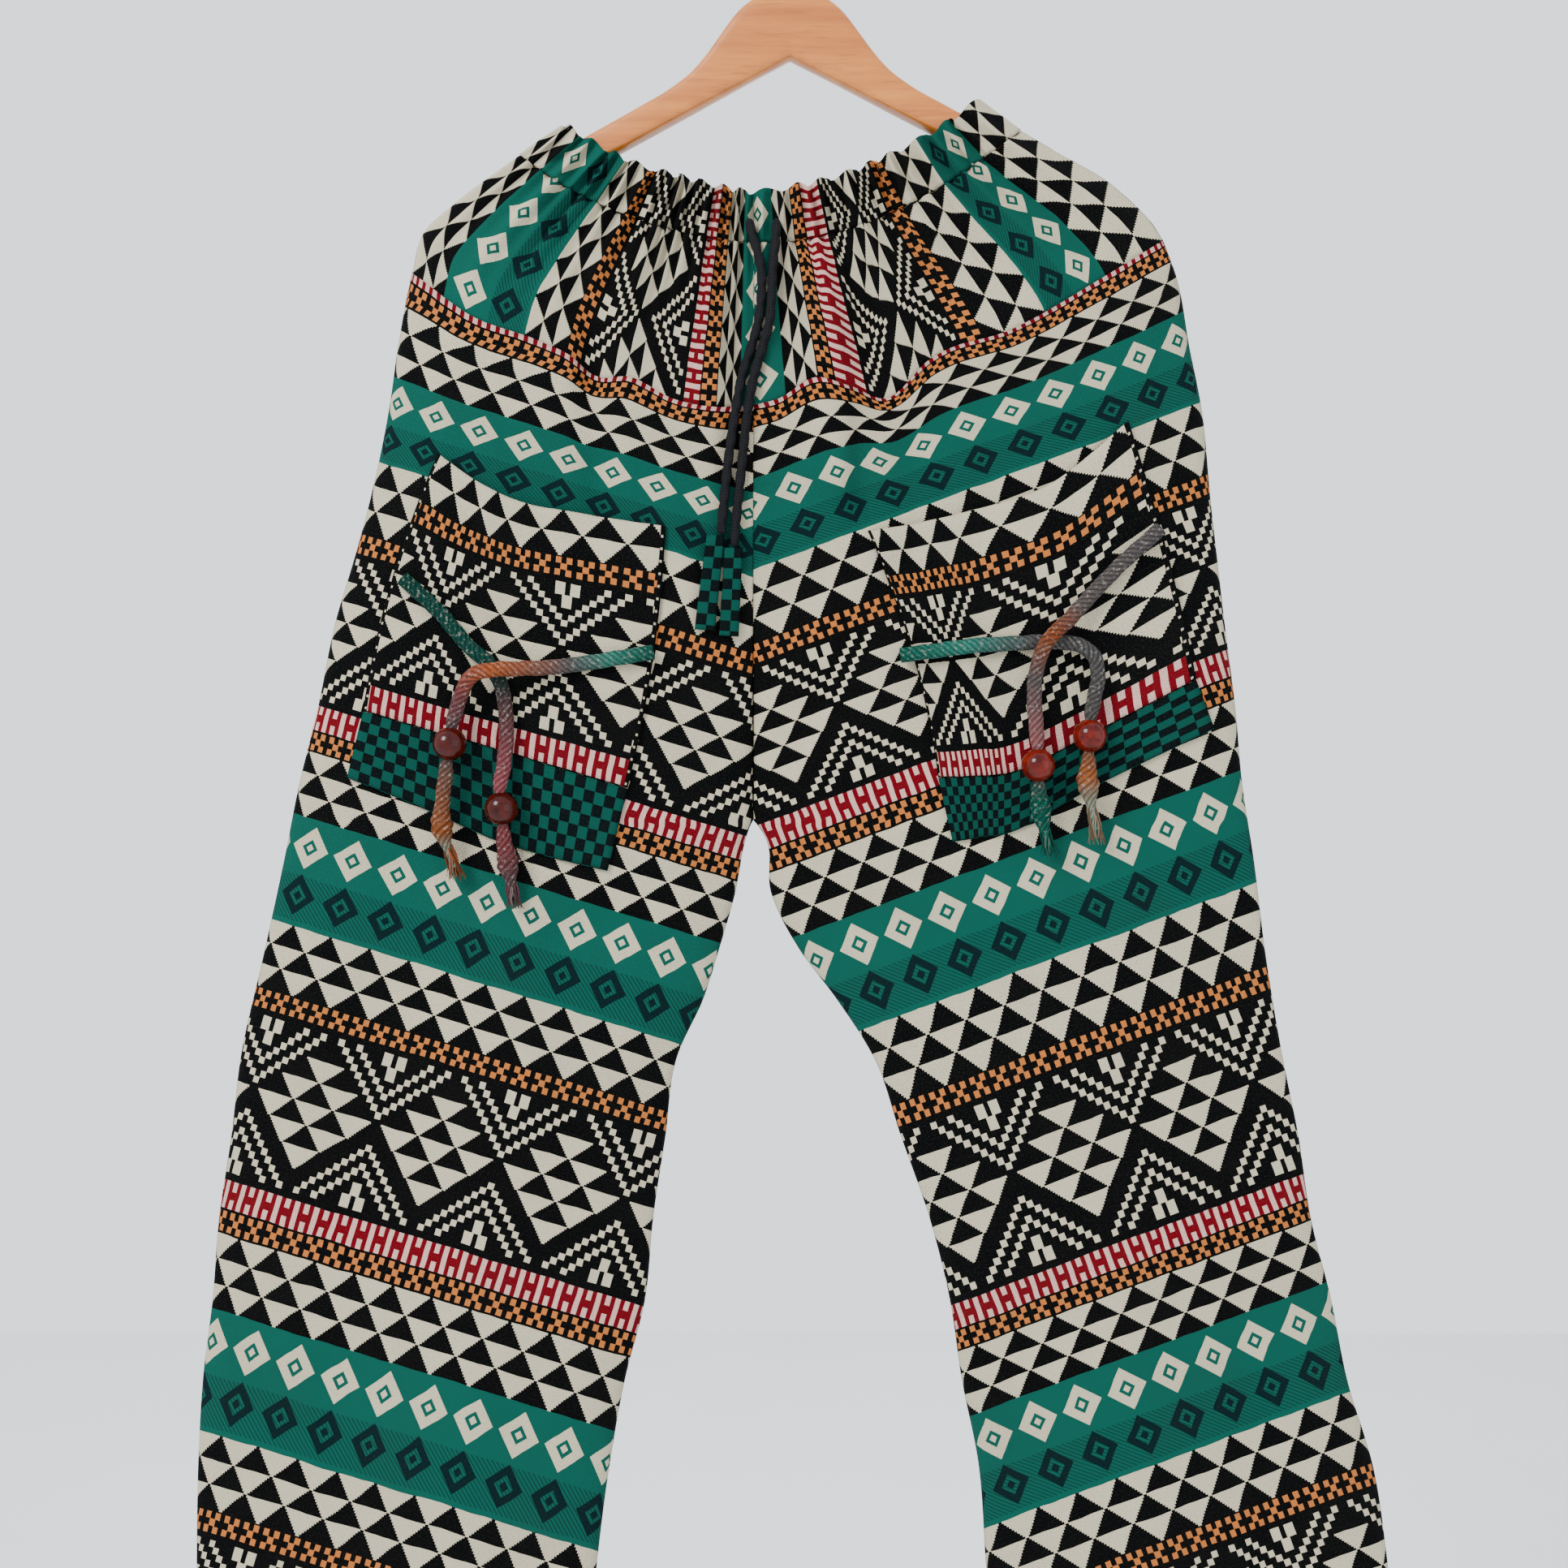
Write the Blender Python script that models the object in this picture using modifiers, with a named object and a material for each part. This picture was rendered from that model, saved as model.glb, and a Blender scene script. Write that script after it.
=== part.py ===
"""Loose drawstring trousers of jacquard wool cloth, hung on a wooden hanger. Metres, +Z up, front towards -Y.

The origin is the inner top of the hanger's hook. Tables are in millimetres: "x" counts to the right of the
garment's table line and "drop" counts down from just under the top of the hanger's neck.
"""

import math

import bmesh
import bpy
import numpy as np
from mathutils import Vector
from mathutils.bvhtree import BVHTree

MM = 0.001
GAP = 0.0003  # between two pieces at a seam
CASING_GAP = 0.0007  # straight down, where the casing's seam slopes
CLOTH = 0.0018  # wall of the jacquard cloth
CASING_CLOTH = 0.0015
NECK_LEVEL = -0.064  # height of drop 0
SIDE_SHIFT = -0.0035  # the garment's table line lies this far left of the hook
ROUNDNESS = 2.6  # power of the oval that the flattened cloth follows round its sides
VIEW = 1.0  # places on the front were measured as seen from this far, in the plane of the side seams
VIEW_DROP = 483.0
VIEW_FADES = (600.0, 900.0)
FRONT_LIES = 0.025  # how far the front lies before that plane

CENTRE = -19.0  # x of the centre seams
YOKE_LEVEL = 249.0  # where the yoke seam meets the centre seam
SETTLE = 220.0  # over this depth the rows of a leg panel turn from the yoke seam's line to level
CROTCH_LEVEL = 505.0
LEG_LEVELS = (249, 280, 320, 365, 410, 450, 480, 498, 505, 515, 545, 600, 670, 750, 840, 930, 1025, 1121)
FRONT_STRIPS = 24  # columns of faces across a front yoke or leg panel
BACK_STRIPS = 18
YOKE_ROWS = 6
RUFFLES = 36  # fine gathers across the front of the casing, and as many behind
FOLDS_HALF = 5.0  # soft folds across half a yoke, under the gathers
FOLD_DEPTH = 3.0
RISE = 0.5  # share of the way in over which the cloth comes up to its full depth
CASING_DEPTH = (14.0, 16.0)  # half the waist's depth at the casing's upper and lower edge
RUFFLE_DEPTH = (1.5, 0.8)  # of the gathers at those edges
RIM_TURN = 8.0  # either side of the crotch's level, the seam's rims turn over this depth


def table(columns, *rows):
    """Named columns of numbers, one row for each section or fold."""
    return {name: np.array(values, float) for name, values in zip(columns.split(), zip(*rows))}


OUTLINE = table(
    "drop left right",
    (148, -223.5, 233.5), (168, -229, 241), (215, -238, 250), (250, -243, 257), (310, -255.5, 263),
    (345, -265, 267), (380, -275.5, 271), (440, -288, 278.5), (480, -298, 282), (530, -308, 289.5),
    (590, -321, 297), (650, -334.5, 307), (700, -340.5, 317), (750, -348, 324.5), (800, -352, 337),
    (850, -358, 347), (900, -360.5, 362), (966, -361.5, 372), (1121, -364, 388),
)
INSEAM = table(
    "drop left right",
    (505, -19.5, -18.5), (515, -23, -12), (550, -30, -8), (585, -40, 9.5), (615, -49.5, 32),
    (650, -65.5, 54.5), (700, -73, 72), (750, -80.5, 89.5), (800, -85.5, 102), (850, -98, 109.5),
    (900, -107, 119.5), (966, -115.5, 124.5), (1121, -126, 140),
)
FULLNESS = table(  # half the garment's depth, and the share of it left at the centre seam
    "drop depth centre",
    (249, 26, 0.92), (320, 25, 0.85), (400, 22, 0.62), (450, 19.5, 0.38), (480, 18, 0.2), (498, 17, 0.08),
    (505, 17, 0), (600, 16.5, 0), (800, 18, 0), (1121, 20, 0),
)
CASING = table(  # stations from the left end to the right end of the waist casing
    "across top_x top_drop low_x low_drop",
    (0.0, -137, 75.5, -163, 95), (0.1, -113, 90, -134, 115), (0.2, -90, 101, -105, 129),
    (0.3, -66, 108, -76, 139), (0.4, -42, 114, -47, 146), (0.5, -19, 118, -19, 149),
    (0.6, 9, 114, 14, 147), (0.7, 37, 107, 47, 138), (0.8, 65, 95, 80, 124), (0.9, 93, 80, 113, 104),
    (1.0, 120.5, 61, 146, 80),
)
SHOULDER = {
    "left": table("way x drop", (0, -163, 95), (0.45, -203, 125), (0.75, -223, 145), (1, -229, 168)),
    "right": table(
        "way x drop",
        (0, 146, 80), (0.27, 167, 92.5), (0.7, 207, 117.5), (0.92, 228, 139), (1, 233.5, 148),
    ),
}
YOKE_SEAM = {
    "front": table(
        "x drop",
        (-229, 168), (-193, 194), (-150, 210), (-130, 220), (-119, 230), (-94, 232), (-69, 245), (-44, 250),
        (-19, 249), (-3, 245), (18.5, 232), (40, 237), (63.5, 245), (90, 221), (141.5, 202), (196, 171),
        (233.5, 148),
    ),
    "back": table(
        "x drop",
        (-229, 168), (-150, 209), (-80, 235), (-19, 249), (60, 232), (150, 192), (233.5, 148),
    ),
}
FOLDS = {  # each a soft ridge, or a trough where its depth is below 0, along a line on the cloth
    "front": table(
        "x0 drop0 x1 drop1 width depth",
        (-130, 148, -119, 238, 7, -7), (-119, 238, -114, 315, 10, -4), (-110, 168, -96, 238, 14, 4),
        (-58, 158, -43, 250, 14, 4), (-30, 170, -34, 285, 8, -4), (22, 150, 37, 285, 16, 8),
        (51, 168, 47, 312, 9, -6), (72, 155, 67, 220, 12, 4), (99, 155, 92, 225, 9, -4),
        (-10, 488, 72, 348, 14, -4), (-33, 478, -68, 325, 14, 3), (-197, 305, -178, 380, 10, -3),
        (-221, 203, -245, 322, 12, -3), (235, 218, 249, 352, 12, -3), (-3, 530, 117, 590, 14, -4),
        (-38, 530, -133, 575, 14, -3), (-163, 560, -203, 966, 30, 4), (-248, 575, -283, 966, 25, -3),
        (-73, 640, -103, 875, 16, -3), (182, 560, 227, 966, 30, 4), (267, 560, 302, 966, 22, -4),
        (40, 640, 97, 800, 16, -3),
    ),
    "back": table(
        "x0 drop0 x1 drop1 width depth",
        (-140, 160, -128, 300, 14, -4), (-60, 165, -66, 320, 16, 4), (15, 165, 30, 330, 16, 5),
        (95, 160, 88, 300, 14, -4), (-40, 490, -150, 420, 20, -4), (5, 490, 130, 400, 20, -4),
        (-175, 580, -215, 980, 30, 4), (-260, 600, -290, 1000, 26, -3), (190, 580, 235, 980, 30, 4),
        (280, 600, 318, 1000, 26, -3),
    ),
}


def smooth(rows, key, column, at):
    """The column as a smooth curve through the table's rows, read at these values of the key column."""
    xs, ys = rows[key], rows[column]
    slopes = np.gradient(ys, xs)
    i = np.clip(np.searchsorted(xs, at) - 1, 0, len(xs) - 2)
    step = xs[i + 1] - xs[i]
    t = np.clip((at - xs[i]) / step, 0, 1)
    rise = ys[i] * (2 * t**3 - 3 * t**2 + 1) + ys[i + 1] * (3 * t**2 - 2 * t**3)
    return rise + step * (slopes[i] * (t**3 - 2 * t**2 + t) + slopes[i + 1] * (t**3 - t**2))


def oval(share):
    """How much of the full depth the cloth has at this share of the way in from an edge, 0 to 1."""
    out = 1 - np.clip(share, 0, 1)
    return (1 - out**ROUNDNESS) ** (1 / ROUNDNESS)


def fold_relief(face, x, drop):
    """Sum of the soft ridges and troughs, each fading with the square of the distance from its line."""
    relief = np.zeros_like(x)
    rows = FOLDS[face]
    for x0, drop0, x1, drop1, width, depth in zip(*(rows[name] for name in rows)):
        length = math.hypot(x1 - x0, drop1 - drop0)
        along = ((x - x0) * (x1 - x0) + (drop - drop0) * (drop1 - drop0)) / length
        across = ((x - x0) * (drop1 - drop0) - (drop - drop0) * (x1 - x0)) / length
        past = np.maximum(0, np.abs(along - length / 2) - length / 2) / (1.5 * width)
        relief += depth * np.exp(-((across / width) ** 2) - past**2)
    return relief


def placed(x, depth, drop, face):
    """World points of places in the tables' millimetres; depth counts outwards from the side seams' plane.

    The front's places were read off as the eye sees them, so they close in on the middle of the view as they
    come nearer. That fades out down the legs, which keeps the hems level.
    """
    out = np.maximum(depth * MM, GAP / 2)
    if face == "back":
        return np.stack([SIDE_SHIFT + x * MM, out, NECK_LEVEL - drop * MM], axis=-1)
    nearer = 1 - out / VIEW * np.clip((VIEW_FADES[1] - drop) / (VIEW_FADES[1] - VIEW_FADES[0]), 0, 1)
    x, drop = x * nearer, VIEW_DROP + (drop - VIEW_DROP) * nearer
    return np.stack([SIDE_SHIFT + x * MM, -out, NECK_LEVEL - drop * MM], axis=-1)


def seam_line(side, face, share):
    """x and drop along the yoke seam, from the side (share 0) to the centre seam (share 1)."""
    end = SHOULDER[side]["x"][-1]
    x = end + (CENTRE - end) * share
    return x, smooth(YOKE_SEAM[face], "x", "drop", x)


def seam_depth(side, face, share):
    """Depth along the yoke seam, shared by the yoke above it and the leg panel below."""
    x, drop = seam_line(side, face, share)
    full, centre = FULLNESS["depth"][0], FULLNESS["centre"][0]
    open_side = centre + (1 - centre) * oval((1 - share) / RISE)
    return oval(share / RISE) * (full * open_side + fold_relief(face, x, drop))


def least_depth(level):
    """The centre seam keeps the front wall before the side seams' plane, also where it meets the crotch."""
    if level < CROTCH_LEVEL:
        return CLOTH / MM
    if level == CROTCH_LEVEL:
        return 0.8 * CLOTH / MM
    return 0.0


def leg_row(side, face, share, level):
    """One row of a leg panel: a line that starts as the yoke seam and settles to level lower down."""
    seam_drop = seam_line(side, face, share)[1]
    unsettled = np.clip(1 - (level - YOKE_LEVEL) / SETTLE, 0, 1) ** 2
    drop = level + (seam_drop - YOKE_LEVEL) * unsettled
    outer_x = smooth(OUTLINE, "drop", side, drop[0])
    hand = 1 if side == "left" else -1
    if level > CROTCH_LEVEL:
        inner_x = smooth(INSEAM, "drop", side, drop[-1])
    else:
        inner_x = CENTRE - hand * GAP / 2 / MM
    x = outer_x + (inner_x - outer_x) * share
    full = smooth(FULLNESS, "drop", "depth", level)
    centre = max(0.0, float(smooth(FULLNESS, "drop", "centre", level)))
    open_side = centre + (1 - centre) * oval((1 - share) / RISE)
    folds = fold_relief(face, x, drop) * np.minimum(1, open_side)
    depth = oval(share / RISE) * (full * open_side + folds)
    if level > CROTCH_LEVEL:
        depth[-1] = 0
    depth[-1] = max(depth[-1], least_depth(level) + GAP / MM / 2)
    return placed(x, depth, drop, face)


def yoke_grid(side, face, share):
    """Rows of a yoke piece, between the casing's lower edge, the shoulder's outline and the yoke seam."""
    across = share / 2 if side == "left" else 1 - share / 2
    top_x = smooth(CASING, "across", "low_x", across)
    top_drop = smooth(CASING, "across", "low_drop", across) + CASING_GAP / MM
    low_x, low_drop = seam_line(side, face, share)
    low_drop = low_drop - GAP / MM
    hand = 1 if side == "left" else -1
    rows = []
    for way in np.linspace(0, 1, YOKE_ROWS + 1):
        side_x = smooth(SHOULDER[side], "way", "x", way)
        side_drop = smooth(SHOULDER[side], "way", "drop", way)
        bow_x = side_x - ((1 - way) * top_x[0] + way * low_x[0])
        straight = (1 - way) * (top_drop[0] - CASING_GAP / MM) + way * (low_drop[0] + GAP / MM)
        bow_drop = side_drop - straight
        x = (1 - way) * top_x + way * low_x + bow_x * (1 - share) ** 2
        drop = (1 - way) * top_drop + way * low_drop + bow_drop * (1 - share) ** 2
        depth = (1 - way) * casing_depth(across, 1.0) + way * seam_depth(side, face, share)
        middle = 4 * way * (1 - way)
        swell = 2 + 0.6 * fold_relief(face, x, drop) + 0.5 * soft_folds(across)
        depth = depth + middle * oval(share / RISE) * swell
        x[-1] = CENTRE - hand * GAP / 2 / MM
        rows.append(placed(x, depth, drop, face))
    return np.array(rows)


def soft_folds(across):
    """Broad folds that hang from the gathers, a little uneven in spacing."""
    turn = 2 * FOLDS_HALF * across + 0.22 * np.sin(9 * across) + 0.12 * np.sin(23 * across)
    return FOLD_DEPTH * np.cos(2 * np.pi * turn)


def casing_depth(across, way):
    """Depth of the waist casing, from its top edge (way 0) to its lower edge (way 1), with its gathers."""
    share = np.minimum(across, 1 - across) * 2
    turn = RUFFLES * across + 0.3 * np.sin(17 * across) + 0.2 * np.sin(41 * across)
    ruffle = ((1 - way) * RUFFLE_DEPTH[0] + way * RUFFLE_DEPTH[1]) * np.cos(2 * np.pi * turn)
    body = (1 - way) * CASING_DEPTH[0] + way * CASING_DEPTH[1] + 0.6 * way * soft_folds(across)
    return oval(share / RISE) * (body + ruffle)


def casing_grid(face):
    """Three rows of the casing, four columns to a gather, from one end of the waist to the other."""
    across = np.linspace(0, 1, 4 * RUFFLES + 1)
    rows = []
    top_x, top, low_x, low = (
        smooth(CASING, "across", column, across) for column in ("top_x", "top_drop", "low_x", "low_drop")
    )
    for way in (0.0, 0.5, 1.0):
        x = (1 - way) * top_x + way * low_x
        drop = (1 - way) * top + way * low
        rows.append(placed(x, casing_depth(across, way), drop, face))
    return np.array(rows)


def seam_way_in(share, face, hand):
    """The way into the cloth along the casing's seam: from sideways at the side to straight in further on."""
    deep = oval(share / RISE)
    way = np.stack([hand * (1 - deep), (1 if face == "front" else -1) * deep], axis=-1)
    return way / np.linalg.norm(way, axis=-1, keepdims=True)


def inside_of(outer, face, hand, thickness, last, seam_row=None, seam_way=None):
    """The inner face of a wall: each row moved level by the wall's thickness, square to the row.

    The first column is a side seam, and "last" gives each row's way in at its other end, so that the rims of
    two pieces face each other across a seam. "seam_way" gives the way in all along one row.
    """
    along = np.gradient(outer[:, :, :2], axis=1)
    turned = np.stack([-along[..., 1], along[..., 0]], axis=-1)
    turned *= hand * (1 if face == "front" else -1) / np.linalg.norm(turned, axis=-1, keepdims=True)
    turned[:, 0] = (hand, 0)
    turned[:, -1] = last / np.linalg.norm(last, axis=-1, keepdims=True)
    if seam_row is not None:
        turned[seam_row] = seam_way
    inner = outer.copy()
    inner[..., :2] += thickness * turned
    return inner


def wall(name, outer, inner, material, mirrored_from=None):
    """A closed wall between two grids of points, with the same diagonal in both faces, and its rim.

    The rims of two pieces that meet at a seam share their diagonals too. A wall that meets a left and a right
    piece along its last row turns its diagonals there from the column "mirrored_from" on.
    """
    rows, columns = outer.shape[:2]
    count = rows * columns
    index = np.arange(count).reshape(rows, columns)
    a, b, c, d = index[:-1, :-1], index[:-1, 1:], index[1:, 1:], index[1:, :-1]
    skin = np.concatenate([np.stack([a, b, c], -1).reshape(-1, 3), np.stack([a, c, d], -1).reshape(-1, 3)])
    edge = np.concatenate([index[0, :-1], index[:-1, -1], index[-1, :0:-1], index[:0:-1, 0]])
    after = np.roll(edge, -1)
    last_row = (edge >= index[-1, 0]) & (after >= index[-1, 0])
    turned = last_row & (edge - index[-1, 0] <= (columns if mirrored_from is None else mirrored_from))
    near = np.where(turned, after + count, edge + count)
    far = np.where(turned, edge, after)
    rim = np.concatenate([
        np.stack([after, edge, near], -1),
        np.stack([far, edge + count, after + count], -1),
    ])
    faces = np.concatenate([skin, skin[:, ::-1] + count, rim])
    points = np.concatenate([outer.reshape(-1, 3), inner.reshape(-1, 3)])
    solid(name, points, faces, material)


def solid(name, points, faces, material):
    """A named mesh object of these faces, turned to face outwards."""
    mesh = bpy.data.meshes.new(name)
    mesh.from_pydata([tuple(p) for p in points.tolist()], [], [tuple(f) for f in faces.tolist()])
    shape = bmesh.new()
    shape.from_mesh(mesh)
    bmesh.ops.recalc_face_normals(shape, faces=shape.faces)
    shape.to_mesh(mesh)
    shape.free()
    added(name, mesh, material)


def added(name, data, material):
    data.materials.append(material)
    piece = bpy.data.objects.new(name, data)
    TROUSERS.objects.link(piece)
    return piece


def finish(name, colour, roughness, metallic=0.0):
    material = bpy.data.materials.new(name)
    material.use_nodes = True
    shader = material.node_tree.nodes["Principled BSDF"]
    shader.inputs["Base Color"].default_value = (*colour, 1)
    shader.inputs["Roughness"].default_value = roughness
    shader.inputs["Metallic"].default_value = metallic
    return material


def make_casings(cloth):
    """The front and back of the gathered waist casing."""
    half = np.linspace(0, 1, 2 * RUFFLES + 1)
    for face in ("front", "back"):
        outer = casing_grid(face)
        last = np.tile((-1.0, 0.0), (len(outer), 1))
        left, right = seam_way_in(half, face, 1), seam_way_in(half[::-1], face, -1)
        inner = inside_of(outer, face, 1, CASING_CLOTH, last, -1, np.concatenate([left[:-1], right]))
        wall(f"casing_{face}", outer, inner, cloth, 2 * RUFFLES)


def make_panels(cloth):
    """The four yoke pieces and the four leg panels. Returns the front's outer grids."""
    fronts = []
    for face, strips in (("front", FRONT_STRIPS), ("back", BACK_STRIPS)):
        inwards = 1 if face == "front" else -1
        share = np.linspace(0, 1, strips + 1)
        for side, hand in (("left", 1), ("right", -1)):
            outer = yoke_grid(side, face, share)
            last = np.tile((0.0, inwards), (len(outer), 1))
            thinner = CASING_CLOTH / CLOTH  # the yoke's upper rim is as thick as the casing's
            inner = inside_of(outer, face, hand, CLOTH, last, 0, thinner * seam_way_in(share, face, hand))
            wall(f"yoke_{face}_{side}", outer, inner, cloth)
            legs = np.array([leg_row(side, face, share, level) for level in LEG_LEVELS])
            above = np.clip((CROTCH_LEVEL + RIM_TURN - np.array(LEG_LEVELS)) / (2 * RIM_TURN), 0, 1)
            last = np.stack([-hand * (1 - above), inwards * above], axis=-1)
            wall(f"leg_{face}_{side}", legs, inside_of(legs, face, hand, CLOTH, last), cloth)
            if face == "front":
                fronts += [outer, legs]
    return fronts


HANGER = table(  # half of the hanger, which the other half mirrors
    "x top low thick",
    (0, -4, 37, 14), (10, -3.4, 42.3, 14), (18, -1.5, 46.5, 14), (26, 3, 50.7, 14), (33, 9.5, 54.4, 14),
    (42, 21.5, 59.2, 14), (51, 34, 63.9, 14), (60, 44.5, 68.7, 14), (72, 54, 75, 14), (95, 67.5, 87.2, 14),
    (125, 84, 103, 14), (165, 107, 124.1, 13), (203, 130.5, 144.2, 11), (211, 136.5, 147.6, 8),
    (215, 140.5, 148, 5),
)
HANGER_TILT = math.radians(0.6)  # the right arm stands a little higher
HANGER_EDGE = 2.5  # bevel along the arms' edges


def make_hanger(wood):
    """Eight-sided sections of a flat board with bevelled edges, from one end of the hanger to the other."""
    rings = []
    count = len(HANGER["x"])
    for hand, i in [(-1, i) for i in range(count - 1, 0, -1)] + [(1, i) for i in range(count)]:
        half_y, top, low = HANGER["thick"][i] / 2, HANGER["top"][i], HANGER["low"][i]
        edge = min(HANGER_EDGE, half_y - 1)
        section = [(-half_y, top + edge), (-half_y, low - edge), (-half_y + edge, low), (half_y - edge, low)]
        section += [(half_y, low - edge), (half_y, top + edge), (half_y - edge, top), (-half_y + edge, top)]
        rings.append([(hand * HANGER["x"][i], y, drop) for y, drop in section])
    rings = np.array(rings) * MM
    x, y, drop = rings[..., 0], rings[..., 1], rings[..., 2]
    turned_x = x * math.cos(HANGER_TILT) + drop * math.sin(HANGER_TILT)
    turned_drop = drop * math.cos(HANGER_TILT) - x * math.sin(HANGER_TILT)
    points = np.stack([turned_x, y, NECK_LEVEL - turned_drop], axis=-1)
    sections, sides = rings.shape[:2]
    index = np.arange(sections * sides).reshape(sections, sides)
    around = np.roll(index, -1, axis=1)
    quads = [index[:-1], around[:-1], around[1:], index[1:]]
    a, b, c, d = (part.reshape(-1) for part in quads)
    faces = np.concatenate([np.stack([a, b, c], -1), np.stack([a, c, d], -1)])
    caps = [(ring[0], ring[k], ring[k + 1]) for ring in (index[0], index[-1]) for k in range(1, sides - 1)]
    solid("hanger_wood", points.reshape(-1, 3), np.concatenate([faces, np.array(caps)]), wood)


WIRE = 0.0035
HOOK_RADIUS = 0.022  # of the wire's centre line
HOOK_SWEEP = (-65, 205)  # degrees, from where the shank runs into the round to the hook's tip
HOOK_STEPS = 24
NECK_TOP = -4.0  # drop of the hanger's top, which the shank rises from


def make_hook(steel):
    """A wire that rises from the neck, leans to one side and turns back over the top, like a question mark."""
    centre = Vector((0, 0, WIRE / 2 - HOOK_RADIUS))
    foot = NECK_LEVEL - NECK_TOP * MM + GAP
    turns = [math.radians(angle) for angle in np.linspace(*HOOK_SWEEP, HOOK_STEPS + 1).tolist()]
    arc = [centre + HOOK_RADIUS * Vector((math.cos(a), 0, math.sin(a))) for a in turns]
    start = Vector((0, 0, foot + 0.006))
    lean = HOOK_RADIUS * 0.45
    leave = start + Vector((0, 0, lean))
    arrive = arc[0] - lean * Vector((-math.sin(turns[0]), 0, math.cos(turns[0])))
    shank = [Vector((0, 0, foot)), Vector((0, 0, foot + 0.003))]
    for step in range(7):
        t = step / 7
        weights = ((1 - t) ** 3, 3 * t * (1 - t) ** 2, 3 * t * t * (1 - t), t**3)
        shank.append(sum((w * p for w, p in zip(weights, (start, leave, arrive, arc[0]))), Vector()))
    bends = shank + arc
    tube("hanger_hook", bends, [WIRE / 2] * len(bends), 2, steel)


def tube(name, points, radii, resolution, material):
    """A round wire or cord through these points, with its radius at each and closed ends."""
    curve = bpy.data.curves.new(name, "CURVE")
    curve.dimensions = "3D"
    curve.bevel_depth = radii[0]
    curve.bevel_resolution = resolution
    curve.use_fill_caps = True
    run = curve.splines.new("POLY")
    run.points.add(len(points) - 1)
    for point, place, radius in zip(run.points, points, radii):
        point.co = (*place, 1)
        point.radius = radius / radii[0]
    added(name, curve, material)


POCKETS = {  # edges of each patch pocket and of the strip along its lower edge, as seen from the front
    "left": {
        "top": ((-213.5, 279), (-187.5, 297.5), (-160, 310), (-120, 317.5), (-72.5, 325)),
        "low": ((-261, 437.5), (-222, 449), (-181, 460.5), (-139, 473), (-97, 485.5)),
        "strip": ((-271.5, 479), (-227, 497), (-181, 517), (-146, 528), (-109.5, 537)),
        "bows": (-6, 4),
    },
    "right": {
        "top": ((51.5, 327), (80, 323), (113, 315.5), (163, 299), (212.5, 259)),
        "low": ((95.5, 479), (120, 478), (145.5, 474.5), (194.5, 450), (256, 418)),
        "strip": ((104.5, 519), (122, 516), (145.5, 511), (196, 483), (268, 448.5)),
        "bows": (6, 3),
    },
}
POCKET_MOUTH = 0.0026  # how far the pocket's upper edge stands off the leg
POCKET_POINTS = (12, 10)  # across and down
STRIP_POINTS = (12, 4)
STRIP_GAP = 0.4  # below the pocket's lower edge, in millimetres of drop
LIES_OFF = 0.0009


def seen(x, drop):
    """True place of a point on the front, which lies nearer to the eye than the side seams' plane."""
    nearer = 1 - FRONT_LIES / VIEW
    return x * nearer, VIEW_DROP + (drop - VIEW_DROP) * nearer


def surface_under(grids):
    """A function that gives the y of the outermost of these grids at a place on the front."""
    points, faces = [], []
    for grid in grids:
        rows, columns = grid.shape[:2]
        index = np.arange(rows * columns).reshape(rows, columns) + len(points)
        a, b, c, d = index[:-1, :-1], index[:-1, 1:], index[1:, 1:], index[1:, :-1]
        faces += np.stack([a, b, c], -1).reshape(-1, 3).tolist()
        faces += np.stack([a, c, d], -1).reshape(-1, 3).tolist()
        points += grid.reshape(-1, 3).tolist()
    tree = BVHTree.FromPolygons(points, faces)

    def height(x, z, reach=0.004):
        """The outermost y within "reach" of the place, so that what rests there clears the ridges near it."""
        found = []
        for dx, dz in ((0, 0), (reach, 0), (-reach, 0), (0, reach), (0, -reach)):
            hit = tree.ray_cast(Vector((x + dx, -0.2, z + dz)), Vector((0, 1, 0)))[0]
            if hit is not None:
                found.append(hit.y)
        return min(found)

    return height


def edge_points(edge, count):
    """Evenly shared points along an edge given by a few places."""
    rows = {"way": np.linspace(0, 1, len(edge)), "x": np.array(edge)[:, 0], "drop": np.array(edge)[:, 1]}
    at = np.linspace(0, 1, count)
    return np.stack([smooth(rows, "way", "x", at), smooth(rows, "way", "drop", at)], axis=-1)


def patch(name, upper, lower, bows, counts, height, standing, thickness, material):
    """A wall that lies on the front between two edges, made from the cloth's points under it, moved out."""
    columns, rows = counts
    top, low = edge_points(upper, columns), edge_points(lower, columns)
    outer = np.empty((rows, columns, 3))
    inner = np.empty((rows, columns, 3))
    for j, way in enumerate(np.linspace(0, 1, rows)):
        share = np.linspace(0, 1, columns)
        bow = 4 * way * (1 - way) * (bows[0] * (1 - share) ** 2 + bows[1] * share**2)
        for i in range(columns):
            place = (1 - way) * top[i] + way * low[i]
            x, drop = seen(place[0] + bow[i], place[1])
            px, pz = SIDE_SHIFT + x * MM, NECK_LEVEL - drop * MM
            y = height(px, pz) - LIES_OFF - standing(share[i], way)
            inner[j, i] = (px, y, pz)
            outer[j, i] = (px, y - thickness, pz)
    wall(name, outer, inner, material)


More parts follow.
